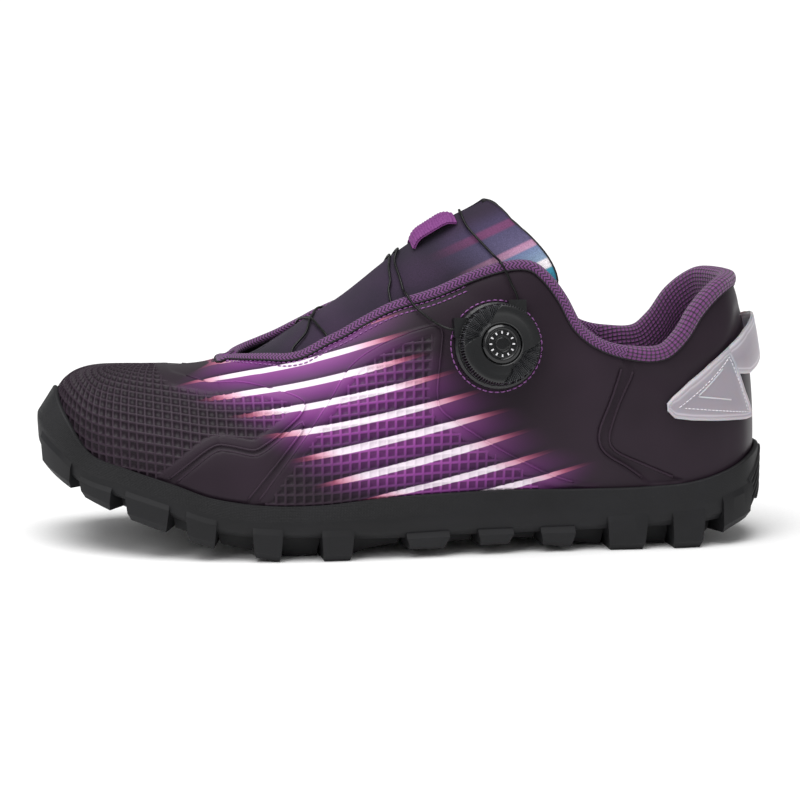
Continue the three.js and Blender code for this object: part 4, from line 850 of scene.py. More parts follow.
def upper_grid():
    """The square relief: ribs upright along the side at every CELL, and ribs along the shoe across them."""
    steps = np.array(CELL_STEPS)
    columns = np.maximum(0, (np.arange(GRID_COLUMNS)[:, None] + steps) * CELL).ravel()[1:]
    foot = np.interp(columns, OUTLINE_REACH, FINE_RIBS)
    foot_x = skin(foot, 0)[:, 0]
    tip, crown_tip = skin(0.0, 0.0)[0], FINE_ROWS[0, CROWN_X]
    crown_x = crown_tip + GRID_EASE * np.log(
        (1 + np.exp((foot_x - crown_tip) / GRID_EASE)) / (1 + np.exp((tip - crown_tip) / GRID_EASE)))
    crown = np.interp(crown_x, FINE_ROWS[:, CROWN_X], FINE_RIBS)
    turn = np.linspace(0, 2, 401)
    half = len(turn) // 2
    points = skin(*grid_place(foot[:, None], crown[:, None], turn))
    girth = reached(points, axis=1)
    rim = rib(foot)[:, RIM]
    at_rim = np.array([np.interp(z, line[:half, 2], reach[:half])
                       for z, line, reach in zip(rim, points, girth)])
    lowest = np.minimum.accumulate(rim)
    row_at = girth - at_rim[:, None] - GRID_DROP * (lowest[0] - lowest)[:, None]
    rows = (np.arange(*GRID_ROWS)[:, None] + steps).ravel() * CELL
    place = np.array([np.interp(rows, line, turn, left=-1, right=-1) for line in row_at])
    lost = place < 0
    u, phi = grid_place(foot[:, None], crown[:, None], np.where(lost, 0, place))
    plain = skin(u, phi)
    _, _, _, _, normal = skin_frame(u, np.minimum(phi, QUARTER - 0.04))
    column_rib = np.tile(CELL_ON_RIB, GRID_COLUMNS)[1:]
    row_rib = np.tile(CELL_ON_RIB, len(rows) // len(steps))
    rib_here = column_rib[:, None] | row_rib[None, :]
    x, z = plain[..., 0], plain[..., 2]
    depth = np.maximum(inside_distance(x, z, TOE_PANEL), inside_distance(x, z, MID_PANEL))
    keep = (depth > CELL_MARGIN - GRID_TUCK) & ~lost & (phi > 0.5 * rim_phi(u))
    points = plain + normal * np.where(rib_here, PANEL_STEP - GRID_SUNK, PANEL_STEP - CELL_DEPTH)[..., None]
    faces = grid_faces(*x.shape)
    faces = faces[keep.ravel()[faces].all(axis=1)]
    used = np.unique(faces)
    renumbered = np.zeros(x.size, int)
    renumbered[used] = np.arange(len(used))
    fields = {name: values.ravel()[used] for name, values in print_fields(x, z).items()}
    # Ribs get cell 1, painted light, and the floors of the cells cell 0, painted shade.
    fields["cell"] = rib_here.ravel()[used]
    piece("upper_grid", points.reshape(-1, 3)[used], renumbered[faces], FILM, fields=fields)


# Sole
# The wall's profile below its lip: how far outside the outline, and its share of the wall's height
WALL_PROFILE = ((-8, 0), (-3.2, 0), (-0.4, 0.16), (0, 0.42), (-0.1, 0.56))
WALL_LINE = 12  # the point of the rounded profile whose length along the sole the hatch follows
# Lugs at the sole's side: start and end as shares of LENGTH, climb as one of the wall's height, and reach
# inwards as one of HALF_WIDTH
LUG_COLUMNS = ("start", "end", "climb", "reach")
LUGS = (
    (0.006, 0.044, 0.55, 0.30), (0.055, 0.096, 0.36, 0.30), (0.114, 0.171, 0.46, 0.34),
    (0.193, 0.233, 0.52, 0.42), (0.280, 0.320, 0.42, 0.46), (0.372, 0.415, 0.34, 0.46),
    (0.487, 0.546, 0.10, 0.24), (0.586, 0.635, 0.10, 0.24), (0.673, 0.721, 0.10, 0.28),
    (0.766, 0.822, 0.44, 0.44), (0.857, 0.903, 0.44, 0.44), (0.929, 0.976, 0.60, 0.36),
)
LUG_PROUD = 0.9
LUG_TUCK = 2.8
LUG_TAPER = 0.8  # length of its foot as a share of its length
LUG_ROOT = 1.2
# Lugs under the sole between each two of them, measured from its side inwards
INNER_LUG = {"outer": 9, "inner": 21, "raised": 0.8, "taper": 1.5, "longer": 0.004}
HEEL_RIB = {"count": 5, "from": (15.75, 0.10), "to": (17.9, 0.85), "pitch": 3.6, "radius": 0.9, "sunk": 0.25}
WORN_EDGE = {"width": 1.3, "from_angle": 25}
# Band of the wall with the hatch, as shares of the wall's height, how faint it is at the heel, and from
# where over what length it gets there
HATCH = {"from": 0.5, "over": 0.06, "to": 1.02, "fade": 0.04, "least": 0.25, "heelwards": 40, "length": 60}


def round_corners(lines, radius):
    """Lines of points with their inner corners rounded off; the points run along the second axis."""
    made = [lines[:, :1]]
    t = np.linspace(0, 1, 5)[None, :, None]
    for k in range(1, lines.shape[1] - 1):
        before, corner, after = lines[:, k - 1], lines[:, k], lines[:, k + 1]
        ends = []
        for other in (before, after):
            gap = np.linalg.norm(other - corner, axis=-1, keepdims=True)
            share = np.minimum(radius / np.maximum(gap, 1e-9), 0.45)
            ends.append((corner + (other - corner) * share)[:, None])
        made.append((1 - t) ** 2 * ends[0] + 2 * t * (1 - t) * corner[:, None] + t**2 * ends[1])
    made.append(lines[:, -1:])
    return np.concatenate(made, axis=1)


def pattern_fields(grid, line):
    """Fields along and around a closed piece in millimetres: along a line of it, and across each ring."""
    along = np.repeat(reached(line)[:, None], grid.shape[1], axis=1)
    return {"along": along, "around": reached(grid, axis=1)}


def outsole_cup():
    """Rubber cup whose wall has a fine hatch."""
    columns = stations(1.5)
    r, top = rib(columns), rim_phi(columns)
    deep = r[:, RIM] - r[:, GROUND]
    lower = [beside_sole(columns, out, r[:, GROUND] + share * deep) for out, share in WALL_PROFILE]
    lines = np.stack(lower + [
        off_skin(columns, top, GAP + SOLE_LIP + 0.2),
        off_skin(columns, top, GAP),
        off_skin(columns, 0.6 * top, GAP),
        beside_sole(columns, -r[:, INSET] + GAP, r[:, FLOOR]),
    ], axis=1)
    wall = round_corners(lines, 0.9)
    count, size = wall.shape[:2]
    faces = [tuple(face) for face in grid_faces(count, size, loop_rows=True)]
    half = count // 2
    for level, flip in ((0, True), (size - 1, False)):
        for i in range(half):
            ring = list(dict.fromkeys(k % count * size + level for k in (i, i + 1, -i - 1, -i)))
            if len(ring) > 2:
                faces.append(tuple(ring[::-1] if flip else ring))
    high = (wall[..., 2] - r[:, None, GROUND]) / deep[:, None]
    hatch = smooth((high - HATCH["from"]) / HATCH["over"]) * smooth((HATCH["to"] - high) / HATCH["fade"])
    toewards = smooth((HATCH["heelwards"] - wall[..., 0]) / HATCH["length"])
    hatch = hatch * (HATCH["least"] + (1 - HATCH["least"]) * toewards)
    fields = {**pattern_fields(wall, wall[:, WALL_LINE]), "hatch": hatch}
    piece("outsole_cup", wall, faces, RUBBER, ["outsole"], fields, sharp=40)


def both_lugs(start, end, count, shape):
    """A lug between two shares of LENGTH on each side; shape gives its rings from its ribs and its foot's."""
    lateral = np.interp((np.linspace(start, end, count) - 0.5) * LENGTH, FINE_ROWS[:, X], FINE_RIBS)
    parts = []
    for u, order in ((lateral, 1), (BACK - lateral, -1)):
        foot = u.mean() + (u - u.mean()) * LUG_TAPER
        rings = np.stack(shape(u, foot, np.maximum(0, rib(foot)[:, TREAD]), rib(u)[:, GROUND]), axis=1)
        parts.append(capped(rings[::order]))
    return parts


def side_lug(climb, reach):
    """Shape of a lug at the sole's side, climbing its wall."""
    reach = reach * HALF_WIDTH

    def shape(u, foot, low, ground):
        high = ground + climb * (rib(u)[:, RIM] - ground)
        return [
            beside_sole(foot, -reach, low),
            beside_sole(foot, LUG_PROUD - 0.8 * LUG_TUCK, low),
            beside_sole(0.5 * (u + foot), LUG_PROUD - 0.15 * LUG_TUCK, low + LUG_TUCK),
            beside_sole(u, LUG_PROUD, low + 0.75 * (high - low)),
            beside_sole(u, -LUG_ROOT, high + LUG_ROOT),
            beside_sole(u, -2 * LUG_ROOT, ground + LUG_ROOT),
            beside_sole(u, -reach + LUG_ROOT, ground + 0.7 * LUG_ROOT),
        ]

    return shape


def inner_lug(u, foot, low, ground):
    """Shape of a lug under the sole, between two of the side."""
    outer, inner, taper = -INNER_LUG["outer"], -INNER_LUG["inner"], INNER_LUG["taper"]
    return [
        beside_sole(foot, inner + taper, low + INNER_LUG["raised"]),
        beside_sole(foot, outer - taper, low + INNER_LUG["raised"]),
        beside_sole(u, outer, ground + 1),
        beside_sole(u, inner, ground + 1),
    ]


def outsole_lugs():
    """Lugs along both sides of the sole, with worn edges."""
    blocks = []
    longer = INNER_LUG["longer"]
    lugs = [dict(zip(LUG_COLUMNS, row)) for row in LUGS]
    for lug in lugs:
        blocks += both_lugs(lug["start"], lug["end"], 7, side_lug(lug["climb"], lug["reach"]))
    for lug, after in zip(lugs, lugs[1:]):
        blocks += both_lugs(lug["end"] - longer, after["start"] + longer, 5, inner_lug)
    made = piece("outsole_lugs", *joined(blocks), RUBBER, sharp=30)
    bevel = made.modifiers.new("worn_edges", "BEVEL")
    bevel.width = WORN_EDGE["width"] * MM
    bevel.segments = 3
    bevel.limit_method = "ANGLE"
    bevel.angle_limit = math.radians(WORN_EDGE["from_angle"])


def heel_ribs():
    """Slanting ribs round the back of the sole."""
    parts = []
    (start, low), (end, high) = HEEL_RIB["from"], HEEL_RIB["to"]
    share = np.linspace(0, 1, 24)
    for k in range(HEEL_RIB["count"]):
        u = start + (end - start) * share
        r = rib(u)
        deep = r[:, RIM] - r[:, GROUND]
        z = r[:, GROUND] + (low + (high - low) * share) * deep + (k - 1.5) * HEEL_RIB["pitch"]
        shown = (z > r[:, GROUND] + 0.02 * deep) & (z < r[:, RIM] - 1)
        if shown.sum() > 3:
            path = beside_sole(u, -HEEL_RIB["sunk"], z)[shown]
            parts.append(tube(path, HEEL_RIB["radius"], 8))
    piece("outsole_heel_ribs", *joined(parts), RUBBER)


# Tongue
TONGUE_END = (11.72, 11.86, 11.93, 11.79, 11.69, 11.71, 11.77, 11.84)  # ribs of its edge, from side to crown
TONGUE_TUCK = 9
TONGUE_DROP = 1.4
TONGUE_FRONT = THROAT_FRONT - 0.28
# Its bands in the side view: where they meet, the direction they run in, and the width that a ramp covers
BANDS_FROM = (29.7, 137.8)
BANDS_SLOPE = math.radians(24.7)
BANDS_WIDTH = 45.0
# They come up from this share of its length on, and this far below their line
BANDS_SHOWN = {"from": 0.74, "over": 0.2, "below": 6}


def tongue_place(t, across):
    """Rib and height of a place on the tongue: t from its front to its top edge, across from -1 to 1."""
    crownward = 1 - np.abs(across)
    ends = through(TONGUE_END, 141)
    end = np.interp(crownward, np.linspace(0, 1, len(ends)), ends)
    place = TONGUE_FRONT + (end - TONGUE_FRONT) * t
    u = np.where(across < 0, place, BACK - place)
    top = edge_phi(u.ravel()).reshape(u.shape)
    tuck = np.minimum(TONGUE_TUCK, 2 + 60 * t) / skin_frame(u, 0.9 * top)[3]
    start = np.minimum(top, QUARTER - 0.02) - tuck
    return u, np.minimum(start + (QUARTER - start) * crownward, QUARTER - 0.02)


def tongue():
    """Knitted tongue with a bound top edge, dipping under the upper at its sides."""
    t, across = np.meshgrid(np.linspace(0, 1, 120), np.linspace(-1, 1, 96), indexing="ij")
    u, phi = tongue_place(t, across)
    drop = UPPER_WALL + GAP + TONGUE_DROP * np.minimum(1, 5 * t)
    outer = off_skin(u, phi, -drop)
    inner = off_skin(u, phi, -drop - TONGUE_WALL + 0.4)
    x, z = (outer[..., k] - BANDS_FROM[k // 2] for k in (0, 2))
    below = x * math.sin(BANDS_SLOPE) - z * math.cos(BANDS_SLOPE)
    band = np.clip(below / BANDS_WIDTH, 0, 1)
    glow = smooth((t - BANDS_SHOWN["from"]) / BANDS_SHOWN["over"])
    glow = glow * smooth((below - BANDS_SHOWN["below"]) / BANDS_SHOWN["below"])
    fields = {name: np.tile(values[:, ::-1].ravel(), 2) for name, values in (("band", band), ("glow", glow))}
    piece("tongue_knit", *closed_sheet(outer[:, ::-1], inner[:, ::-1]), STRETCH, ["tongue"], fields)
    rim = (outer[-1] + inner[-1]) / 2
    piece("tongue_binding", *tube(rim[1:-1], 1.0, 12), BINDING)


# Lining round throat and collar
ROLL = (
    (0.45, -0.9), (1.15, 0.6), (0.9, 2.3), (-0.6, 3.3), (-1.8, 2.7), (-2.2, 1.5), (-2.0, 0.5), (-1.5, 0.4),
    (-0.9, 0.4), (-0.2, 0.4),
)
COLLAR_ROLL = ((0.45, -1.4), (1.75, 0.6), (1.3, 3.0), (-1.6, 4.4), (-5.2, 3.2))
PADDING = 5
PADDING_DEPTH = 24
PADDING_START = 12.25  # rib where the roll of the throat begins to widen
PADDING_FULL = 13.3  # and where it has become the collar's
LINING_POINTS = 36  # round its section
# Radius of the dark tube laid along the collar's seam as a painted shadow line.
PAINTED_SHADOW_LINE_RADIUS = 0.35


def edge_ribs(step):
    """Ribs at even steps along the upper's edge on the lateral side, from the throat's front to the heel."""
    u = THROAT_FRONT + (HEEL - THROAT_FRONT) * np.linspace(0, 1, 901) ** 2
    reach = reached(skin(u, edge_phi(u)))
    return np.interp(np.linspace(0, reach[-1], round(reach[-1] / step) + 1), reach, u)


def edge_frames(u):
    """Point, outward normal and direction into the opening at the upper's edge, for a closed loop of ribs."""
    points = skin(u, edge_phi(u))
    course = unit(np.roll(points, -1, axis=0) - np.roll(points, 1, axis=0))
    normal = skin_frame(u, np.minimum(edge_phi(u), QUARTER - 0.05))[4]
    rise = unit(np.cross(normal, course))
    return points, np.cross(course, rise), rise


def lining():
    """Padded knit collar, and the slim braid that its roll becomes along the throat."""
    u = both_sides(edge_ribs(1.4))
    top = edge_phi(u)
    point, normal, rise = edge_frames(u)
    speed = skin_frame(u, top)[3]
    near_heel = HEEL - np.abs(u - HEEL)
    full = smooth((near_heel - PADDING_START) / (PADDING_FULL - PADDING_START))[:, None, None]
    slim = np.stack([point + normal * n + rise * up for n, up in ROLL], 1)
    thick = [point + normal * n + rise * up for n, up in COLLAR_ROLL]
    for n, depth in (
        (-UPPER_WALL - PADDING, 5), (-UPPER_WALL - 0.8 * PADDING, 0.6 * PADDING_DEPTH),
        (-UPPER_WALL - 1.4, PADDING_DEPTH), (-UPPER_WALL - GAP, PADDING_DEPTH - 1), (-UPPER_WALL - GAP, 0),
    ):
        thick.append(off_skin(u, top - depth / speed, n))
    rings = slim + (np.stack(thick, 1) - slim) * full
    rings = through(rings, LINING_POINTS, closed=True, axis=1)
    count, size = rings.shape[:2]
    faces = grid_faces(count, size, loop_rows=True, loop_columns=True)[:, ::-1]
    fields = pattern_fields(rings, point)
    made = piece("collar_lining_knit", rings, faces, (KNIT, BRAID), ["collar_lining"], fields)
    thin = np.repeat((full[:, 0, 0] < 0.5) | (near_heel < PADDING_START), size)
    made.data.polygons.foreach_set("material_index", thin.astype(np.int32))
    # A dark tube just under the upper's edge: a painted shadow line where the film meets the lining.
    seam = point + normal * PAINTED_SHADOW_LINE_RADIUS - rise * (1 + 0.5 * full[:, 0])
    piece("collar_painted_shadow_line", *tube(np.concatenate([seam, seam[:3]]), PAINTED_SHADOW_LINE_RADIUS, 8), BINDING)


THROAT_ROWS = {"depths": (1.6, 3.6), "to_rib": 10.6}  # below the upper's edge


def throat_stitches():
    """Two rows of thread beside the throat, on both sides."""
    parts = []
    lateral = edge_ribs(1.0)
    lateral = lateral[(lateral > THROAT_FRONT + 0.15) & (lateral < THROAT_ROWS["to_rib"])]
    for depth in THROAT_ROWS["depths"]:
        for u in (lateral, BACK - lateral):
            top = np.minimum(edge_phi(u), QUARTER - 0.03)
            _, _, _, speed, _ = skin_frame(u, top)
            phi = top - depth / speed
            path, _, _, _, normal = skin_frame(u, phi)
            lift = relief(path[:, 0], path[:, 2]) - EDGE_TURN["depth"] * math.exp(-depth / EDGE_TURN["over"])
            parts.append(stitches(path + normal * lift[:, None], normal, 2.2, 1.75, 0.28, 0.04))
    piece("throat_stitching", *joined(parts), THREAD)


# Dial
DIAL_AT = 0.611
DIAL_HIGH = 0.579
KNOB_RADIUS = 16
KNOB_HEIGHT = 7
BASE_HEIGHT = 4.2
CAP_RADIUS = 7.6
CORD_HEIGHT = 2.2
KNOB_FOOT = BASE_HEIGHT + GAP
KNOB_TOP = KNOB_FOOT + KNOB_HEIGHT
PORTS = (
    {"start": (-10.8, 6.0), "end": (-17.7, 6.4)},
    {"start": (7.8, 11.4), "end": (8.4, 18.2)},
)
RIM_TEETH = 90
TOOTH_DEPTH = 0.6
SECTOR_RIB = 2.9  # degrees from rib to rib on the two ribbed sectors
# A ribbed sector between its two edges: their angle at the cap's ring and at the rim, in degrees
SECTOR = {"ring": (122.6, 156.0), "rim": (85.3, 187.0)}
SECTOR_EDGE = 1.6  # it deepens over this many degrees
SECTOR_HOLLOW = 0.75
SECTOR_DROP = 0.3
SECTOR_GROOVE = 0.42


dial_place = rib_place((DIAL_AT - 0.5) * LENGTH, DIAL_HIGH * INSTEP_HEIGHT)
dial_middle, _, _, _, dial_normal = skin_frame(*dial_place)
dial_right = unit(np.cross([0, 0, 1], dial_normal))
DIAL_AXES = np.stack([dial_right, np.cross(dial_normal, dial_right), dial_normal])


def on_dial(x, y, z):
    """Places on the dial: x to the right and y up its face, z out from the upper."""
    return dial_middle + np.stack(np.broadcast_arrays(x, y, z), -1) @ DIAL_AXES


def turned(radius, height, turn):
    """Points of a turned or ribbed form: radius and height over turn, for each point of the profile."""
    return on_dial(radius * np.cos(turn), radius * np.sin(turn), height)


def dial_knob():
    """Knob with a toothed rim, two dished sectors of fine ribs, and smooth swelling sectors between."""
    turn = np.linspace(0, 2 * math.pi, 720, endpoint=False)[:, None]
    profile = np.array([
        (KNOB_RADIUS - 1.4, KNOB_FOOT), (KNOB_RADIUS - 0.6, KNOB_FOOT), (KNOB_RADIUS, KNOB_FOOT + 0.8),
        (KNOB_RADIUS, KNOB_FOOT + 2.6), (KNOB_RADIUS, KNOB_TOP - 1.9), (KNOB_RADIUS - 0.25, KNOB_TOP - 1.1),
        (KNOB_RADIUS - 0.75, KNOB_TOP - 0.35), (KNOB_RADIUS - 1.5, KNOB_TOP),
        (KNOB_RADIUS - 2.6, KNOB_TOP + 0.1), (KNOB_RADIUS - 3.8, KNOB_TOP),
        (KNOB_RADIUS - 5.0, KNOB_TOP - 0.25), (CAP_RADIUS + 1.4, KNOB_TOP - 0.55),
        (CAP_RADIUS + 0.9, KNOB_TOP - 0.6), (CAP_RADIUS + 0.45, KNOB_TOP - 0.8),
        (CAP_RADIUS + GAP, KNOB_TOP - 1.2), (CAP_RADIUS + GAP, KNOB_TOP - 2.4), (0.1, KNOB_TOP - 2.4),
    ])
    profile = np.concatenate([through(profile[:14], 52), profile[14:]])
    radius, height = profile[:, 0][None, :], profile[:, 1][None, :]
    outward = smooth(radius - KNOB_RADIUS + 1.2)
    teeth = 0.5 - 0.5 * np.cos(RIM_TEETH * turn)
    share = np.clip((radius - CAP_RADIUS - 0.8) / (KNOB_RADIUS - CAP_RADIUS - 0.8), 0, 1)
    dish = np.zeros(np.broadcast_shapes(turn.shape, radius.shape))
    for half in (0, 180):
        low, high = (SECTOR["ring"][k] + (SECTOR["rim"][k] - SECTOR["ring"][k]) * share**0.8 for k in (0, 1))
        past, left = np.mod(np.degrees(turn) - half - low, 360), np.mod(high - np.degrees(turn) + half, 360)
        dish = np.maximum(dish, np.where(past <= high - low, smooth(np.minimum(past, left) / SECTOR_EDGE), 0))
    dish = dish * smooth((share - 0.02) / 0.1) * (height > KNOB_FOOT + 3)
    ribs = 0.5 - 0.5 * np.cos(turn * 360 / SECTOR_RIB)
    hollow = SECTOR_HOLLOW * np.sin(math.pi * np.clip(share, 0.02, 0.93)) + SECTOR_DROP
    height = height - dish * (hollow + SECTOR_GROOVE * ribs)
    radius = radius - TOOTH_DEPTH * teeth * outward * (height > KNOB_FOOT + 0.4) - 0.25 * dish * outward
    points = turned(radius, height, turn)
    faces = grid_faces(*points.shape[:2], loop_rows=True)
    # Painted light and shade: higher on the ribs' and teeth's tops, lower in the grooves between them.
    painted_rib_light_and_shade = 0.5 + (ribs - 0.5) * dish + (0.25 - teeth) * outward * (1 - dish)
    piece("dial_knob_ribbed", points, faces, RIBBED, ["dial_knob"], {"painted_rib_light_and_shade": painted_rib_light_and_shade}, sharp=50)


BASE_EDGE = 1.2  # width of its softened edges
STITCH_RING = 18.0


def dial_base():
    """The solids' base keeps its shape, with its moulded edges softened."""
    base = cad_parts["dial_base"]
    base.material_slots[0].material = NYLON
    soft = base.modifiers.new("moulded_edges", "BEVEL")
    soft.width = BASE_EDGE * MM
    soft.segments = 3
    soft.limit_method = "ANGLE"


CAP_TOP = KNOB_TOP - 0.45
# Its profile: radius, then height over CAP_TOP
CAP_PROFILE = (
    (0, 0.45), (2.2, 0.42), (2.5, 0.1), (2.9, 0.1), (3.2, 0.35), (4.0, 0.32), (5.2, 0.22), (5.5, 0.05),
    (5.9, 0.45), (6.3, 0.55), (6.7, 0.45), (CAP_RADIUS - 0.5, 0.2), (CAP_RADIUS - 0.1, -0.15),
    (CAP_RADIUS, -0.7), (CAP_RADIUS, -2.1),
)
TICK = {"count": 12, "radii": (4.0, 5.0), "half_turn": 0.06, "lift": 0.02}


def dial_cap():
    """Polished cap with raised rings, and ticks printed between them."""
    turn = np.linspace(0, 2 * math.pi, 144, endpoint=False)[:, None]
    radius, height = through(CAP_PROFILE, 80).T
    points = turned(np.maximum(radius, 0.01)[None, :], CAP_TOP + height[None, :], turn)
    faces = grid_faces(*points.shape[:2], loop_rows=True)[:, ::-1]
    piece("dial_cap_polished", points, faces, GLOSS, ["dial_cap"])
    face = radius < TICK["radii"][1] + 1
    ticks = []
    for middle in np.arange(TICK["count"]) * 2 * math.pi / TICK["count"]:
        across = middle + np.linspace(-TICK["half_turn"], TICK["half_turn"], 3)
        r, a = np.meshgrid(np.linspace(*TICK["radii"], 3), across, indexing="ij")
        z = CAP_TOP + np.interp(r, radius[face], height[face]) + TICK["lift"]
        ticks.append((turned(r, z, a), grid_faces(3, 3)))
    piece("dial_cap_ticks", *joined(ticks), INK)


def dial_stitches():
    """Ring of thread that holds the dial's base to the film."""
    turn = np.linspace(0, 2 * math.pi, 241)
    guess = turned(STITCH_RING, 0, turn)
    u, phi = (np.full(len(turn), value) for value in rib_place(dial_middle[0], dial_middle[2]))
    for _ in range(12):
        here, course, up, speed, _ = skin_frame(u, phi)
        rate = np.linalg.norm(skin(u + 0.01, phi) - skin(u - 0.01, phi), axis=-1) / 0.02
        away = guess - here
        across = (course * up).sum(-1)
        a, b = (away * course).sum(-1), (away * up).sum(-1)
        phi = phi + (b - across * a) / (1 - across**2) / speed
        u = u + (a - across * b) / (1 - across**2) / rate
    path, _, _, _, normal = skin_frame(u, phi)
    lift = relief(path[:, 0], path[:, 2])
    threads = stitches(path + normal * lift[:, None], normal, 2.45, 1.9, 0.34, 0.06)
    piece("dial_stitching", *threads, THREAD)


# Cords, on the same routes as the solids'. Each place has its rib, its height and what the cord lies over.
CORD_RADIUS = 0.5
CORD_LIFT = {"film": 2.0, "tongue": CORD_RADIUS + 0.8 - UPPER_WALL - GAP - TONGUE_DROP,
             "under": -UPPER_WALL - (GAP + TONGUE_DROP) / 2}
CORDS = {
    "cord_rear": {"port": 1, "lines": ((
        (11.22, 0.860, "film"), (11.20, 0.920, "film"), (11.17, 0.985, "film"), (11.14, 1.060, "tongue"),
        (11.05, 1.230, "tongue"), (11.08, 1.368, "tongue"), (11.36, 1.545, "tongue"),
        (BACK - 11.10, 1.370, "tongue"), (BACK - 10.95, 1.230, "tongue"), (BACK - 10.97, 1.100, "under"),
        (BACK - 10.97, 0.900, "under"),
    ),)},
    "cord_middle": {"port": 0, "lines": ((
        (10.04, 0.803, "film"), (9.87, 0.887, "film"), (9.77, 0.965, "film"), (9.72, 1.060, "film"),
        (9.70, 1.140, "tongue"), (9.74, 1.253, "tongue"), (9.87, 1.448, "tongue"), (10.10, 1.545, "tongue"),
        (BACK - 9.87, 1.430, "tongue"), (BACK - 9.76, 1.280, "tongue"), (BACK - 9.74, 1.120, "under"),
        (BACK - 9.72, 0.920, "under"),
    ),)},
    "cord_return": {"port": None, "lines": ((
        (9.42, 0.920, "under"), (9.46, 1.080, "under"), (9.52, 1.215, "tongue"), (9.61, 1.286, "tongue"),
        (9.73, 1.420, "tongue"), (9.93, 1.545, "tongue"), (BACK - 9.70, 1.400, "tongue"),
        (BACK - 9.60, 1.260, "tongue"), (BACK - 9.56, 1.120, "under"), (BACK - 9.54, 0.920, "under"),
    ),)},
    "cord_front": {"port": None, "lines": ((
        (7.62, 0.940, "under"), (7.68, 1.080, "under"), (7.75, 1.190, "tongue"), (8.08, 1.288, "tongue"),
        (8.30, 1.445, "tongue"), (BACK - 8.52, 1.450, "tongue"), (BACK - 8.66, 1.260, "under"),
        (BACK - 8.74, 1.080, "under"),
    ), (
        (8.48, 0.940, "under"), (8.43, 1.080, "under"), (8.38, 1.185, "tongue"), (8.33, 1.300, "tongue"),
        (8.30, 1.445, "tongue"), (BACK - 8.12, 1.450, "tongue"), (BACK - 7.98, 1.260, "under"),
        (BACK - 7.92, 1.080, "under"),
    ))},
}


def cords():
    """Laid steel cord between the dial and the eyelets."""
    for name, cord in CORDS.items():
        parts = []
        for rows in cord["lines"]:
            points = [off_skin(u, phi, CORD_LIFT[over]) for u, phi, over in rows]
            if cord["port"] is not None:
                ends = PORTS[cord["port"]]
                points = [on_dial(*ends[end], CORD_HEIGHT) for end in ("start", "end")] + points
            path = through(points, 12 * len(points))
            parts.append(tube(path, CORD_RADIUS, 12))
        piece(name + "_laid", *joined(parts), COATED, [name])


# Pull loop behind the heel: rib, its low and high edge as shares of INSTEP_HEIGHT, and the space under it
LOOP_THICKNESS = 1.6
LOOP_ROUNDING = 1.1  # width of its rounded edge
LOOP_BORDER = {"width": 1.5, "slope": 0.7, "sunk": 0.45}  # raised border of a plate
LOOP_CHEVRON_RADIUS = 0.32
LOOP_PLATE = (
    (13.52, 0.392, 0.414, 0.35), (13.66, 0.371, 0.434, 0.35), (14.04, 0.364, 0.474, 0.35),
    (14.60, 0.360, 0.520, 0.35), (15.02, 0.358, 0.548, 0.40), (15.30, 0.357, 0.562, 0.45),
    (15.45, 0.356, 0.522, 0.50), (15.73, 0.355, 0.438, 0.60), (16.00, 0.357, 0.380, 0.80),
)
LOOP_STRAP = (
    (14.85, 0.508, 0.530, -0.30), (15.10, 0.500, 0.550, -0.30), (15.42, 0.488, 0.570, 0.10),
    (16.04, 0.480, 0.603, 1.20), (16.40, 0.490, 0.617, 2.20), (16.70, 0.505, 0.629, 3.20),
    (17.00, 0.520, 0.636, 3.60),
)
LOOP_SEAM = ((13.75, 0.401), (15.24, 0.536), (15.82, 0.374))  # corners of the stitching
LOOP_CHEVRON = ((14.98, 0.506), (14.20, 0.431), (15.22, 0.415))


def on_heel(u, high, lift):
    """Places on rib u at a share of INSTEP_HEIGHT, lift above the skin."""
    return off_skin(u, phi_at(rib(u), high * INSTEP_HEIGHT), lift)


def cast_band(rows, sunk):
    """A band of cast TPU over the rows, with rounded edges; sunk is its depth inside the border."""
    rows = np.array(rows)
    place = np.linspace(0, len(rows) - 1, 12 * len(rows))
    u, low, high, lift = (np.interp(place, range(len(rows)), rows[:, k])[:, None] for k in range(4))
    share = np.linspace(0, 1, 27)[None, :]
    heights = low + (high - low) * share
    u = np.broadcast_to(u, heights.shape)
    middle = on_heel(u, heights, lift)
    steps = [np.linalg.norm(np.diff(middle, axis=axis), axis=2).sum(axis=axis) for axis in (0, 1)]
    flat = np.stack([np.broadcast_to(np.linspace(0, steps[0].mean(), len(place))[:, None], u.shape),
                     heights * INSTEP_HEIGHT], -1)
    outline = np.concatenate([flat[:, 0], flat[::-1, -1]])
    edge = np.full(u.shape, np.inf)
    for a, b in zip(outline, np.roll(outline, -1, axis=0)):
        edge = np.minimum(edge, line_distance(flat[..., 0], flat[..., 1], a, b))
    round_off = 1 - np.sqrt(1 - np.clip(1 - edge / LOOP_ROUNDING, 0, 1) ** 2)
    field = smooth((edge - LOOP_BORDER["width"]) / LOOP_BORDER["slope"])
    outer = on_heel(u, heights, lift + LOOP_THICKNESS * (1 - 0.5 * round_off) - sunk * field)
    inner = on_heel(u, heights, lift + 0.3 * LOOP_THICKNESS * round_off)
    return closed_sheet(outer, inner), np.tile(edge.ravel(), 2)


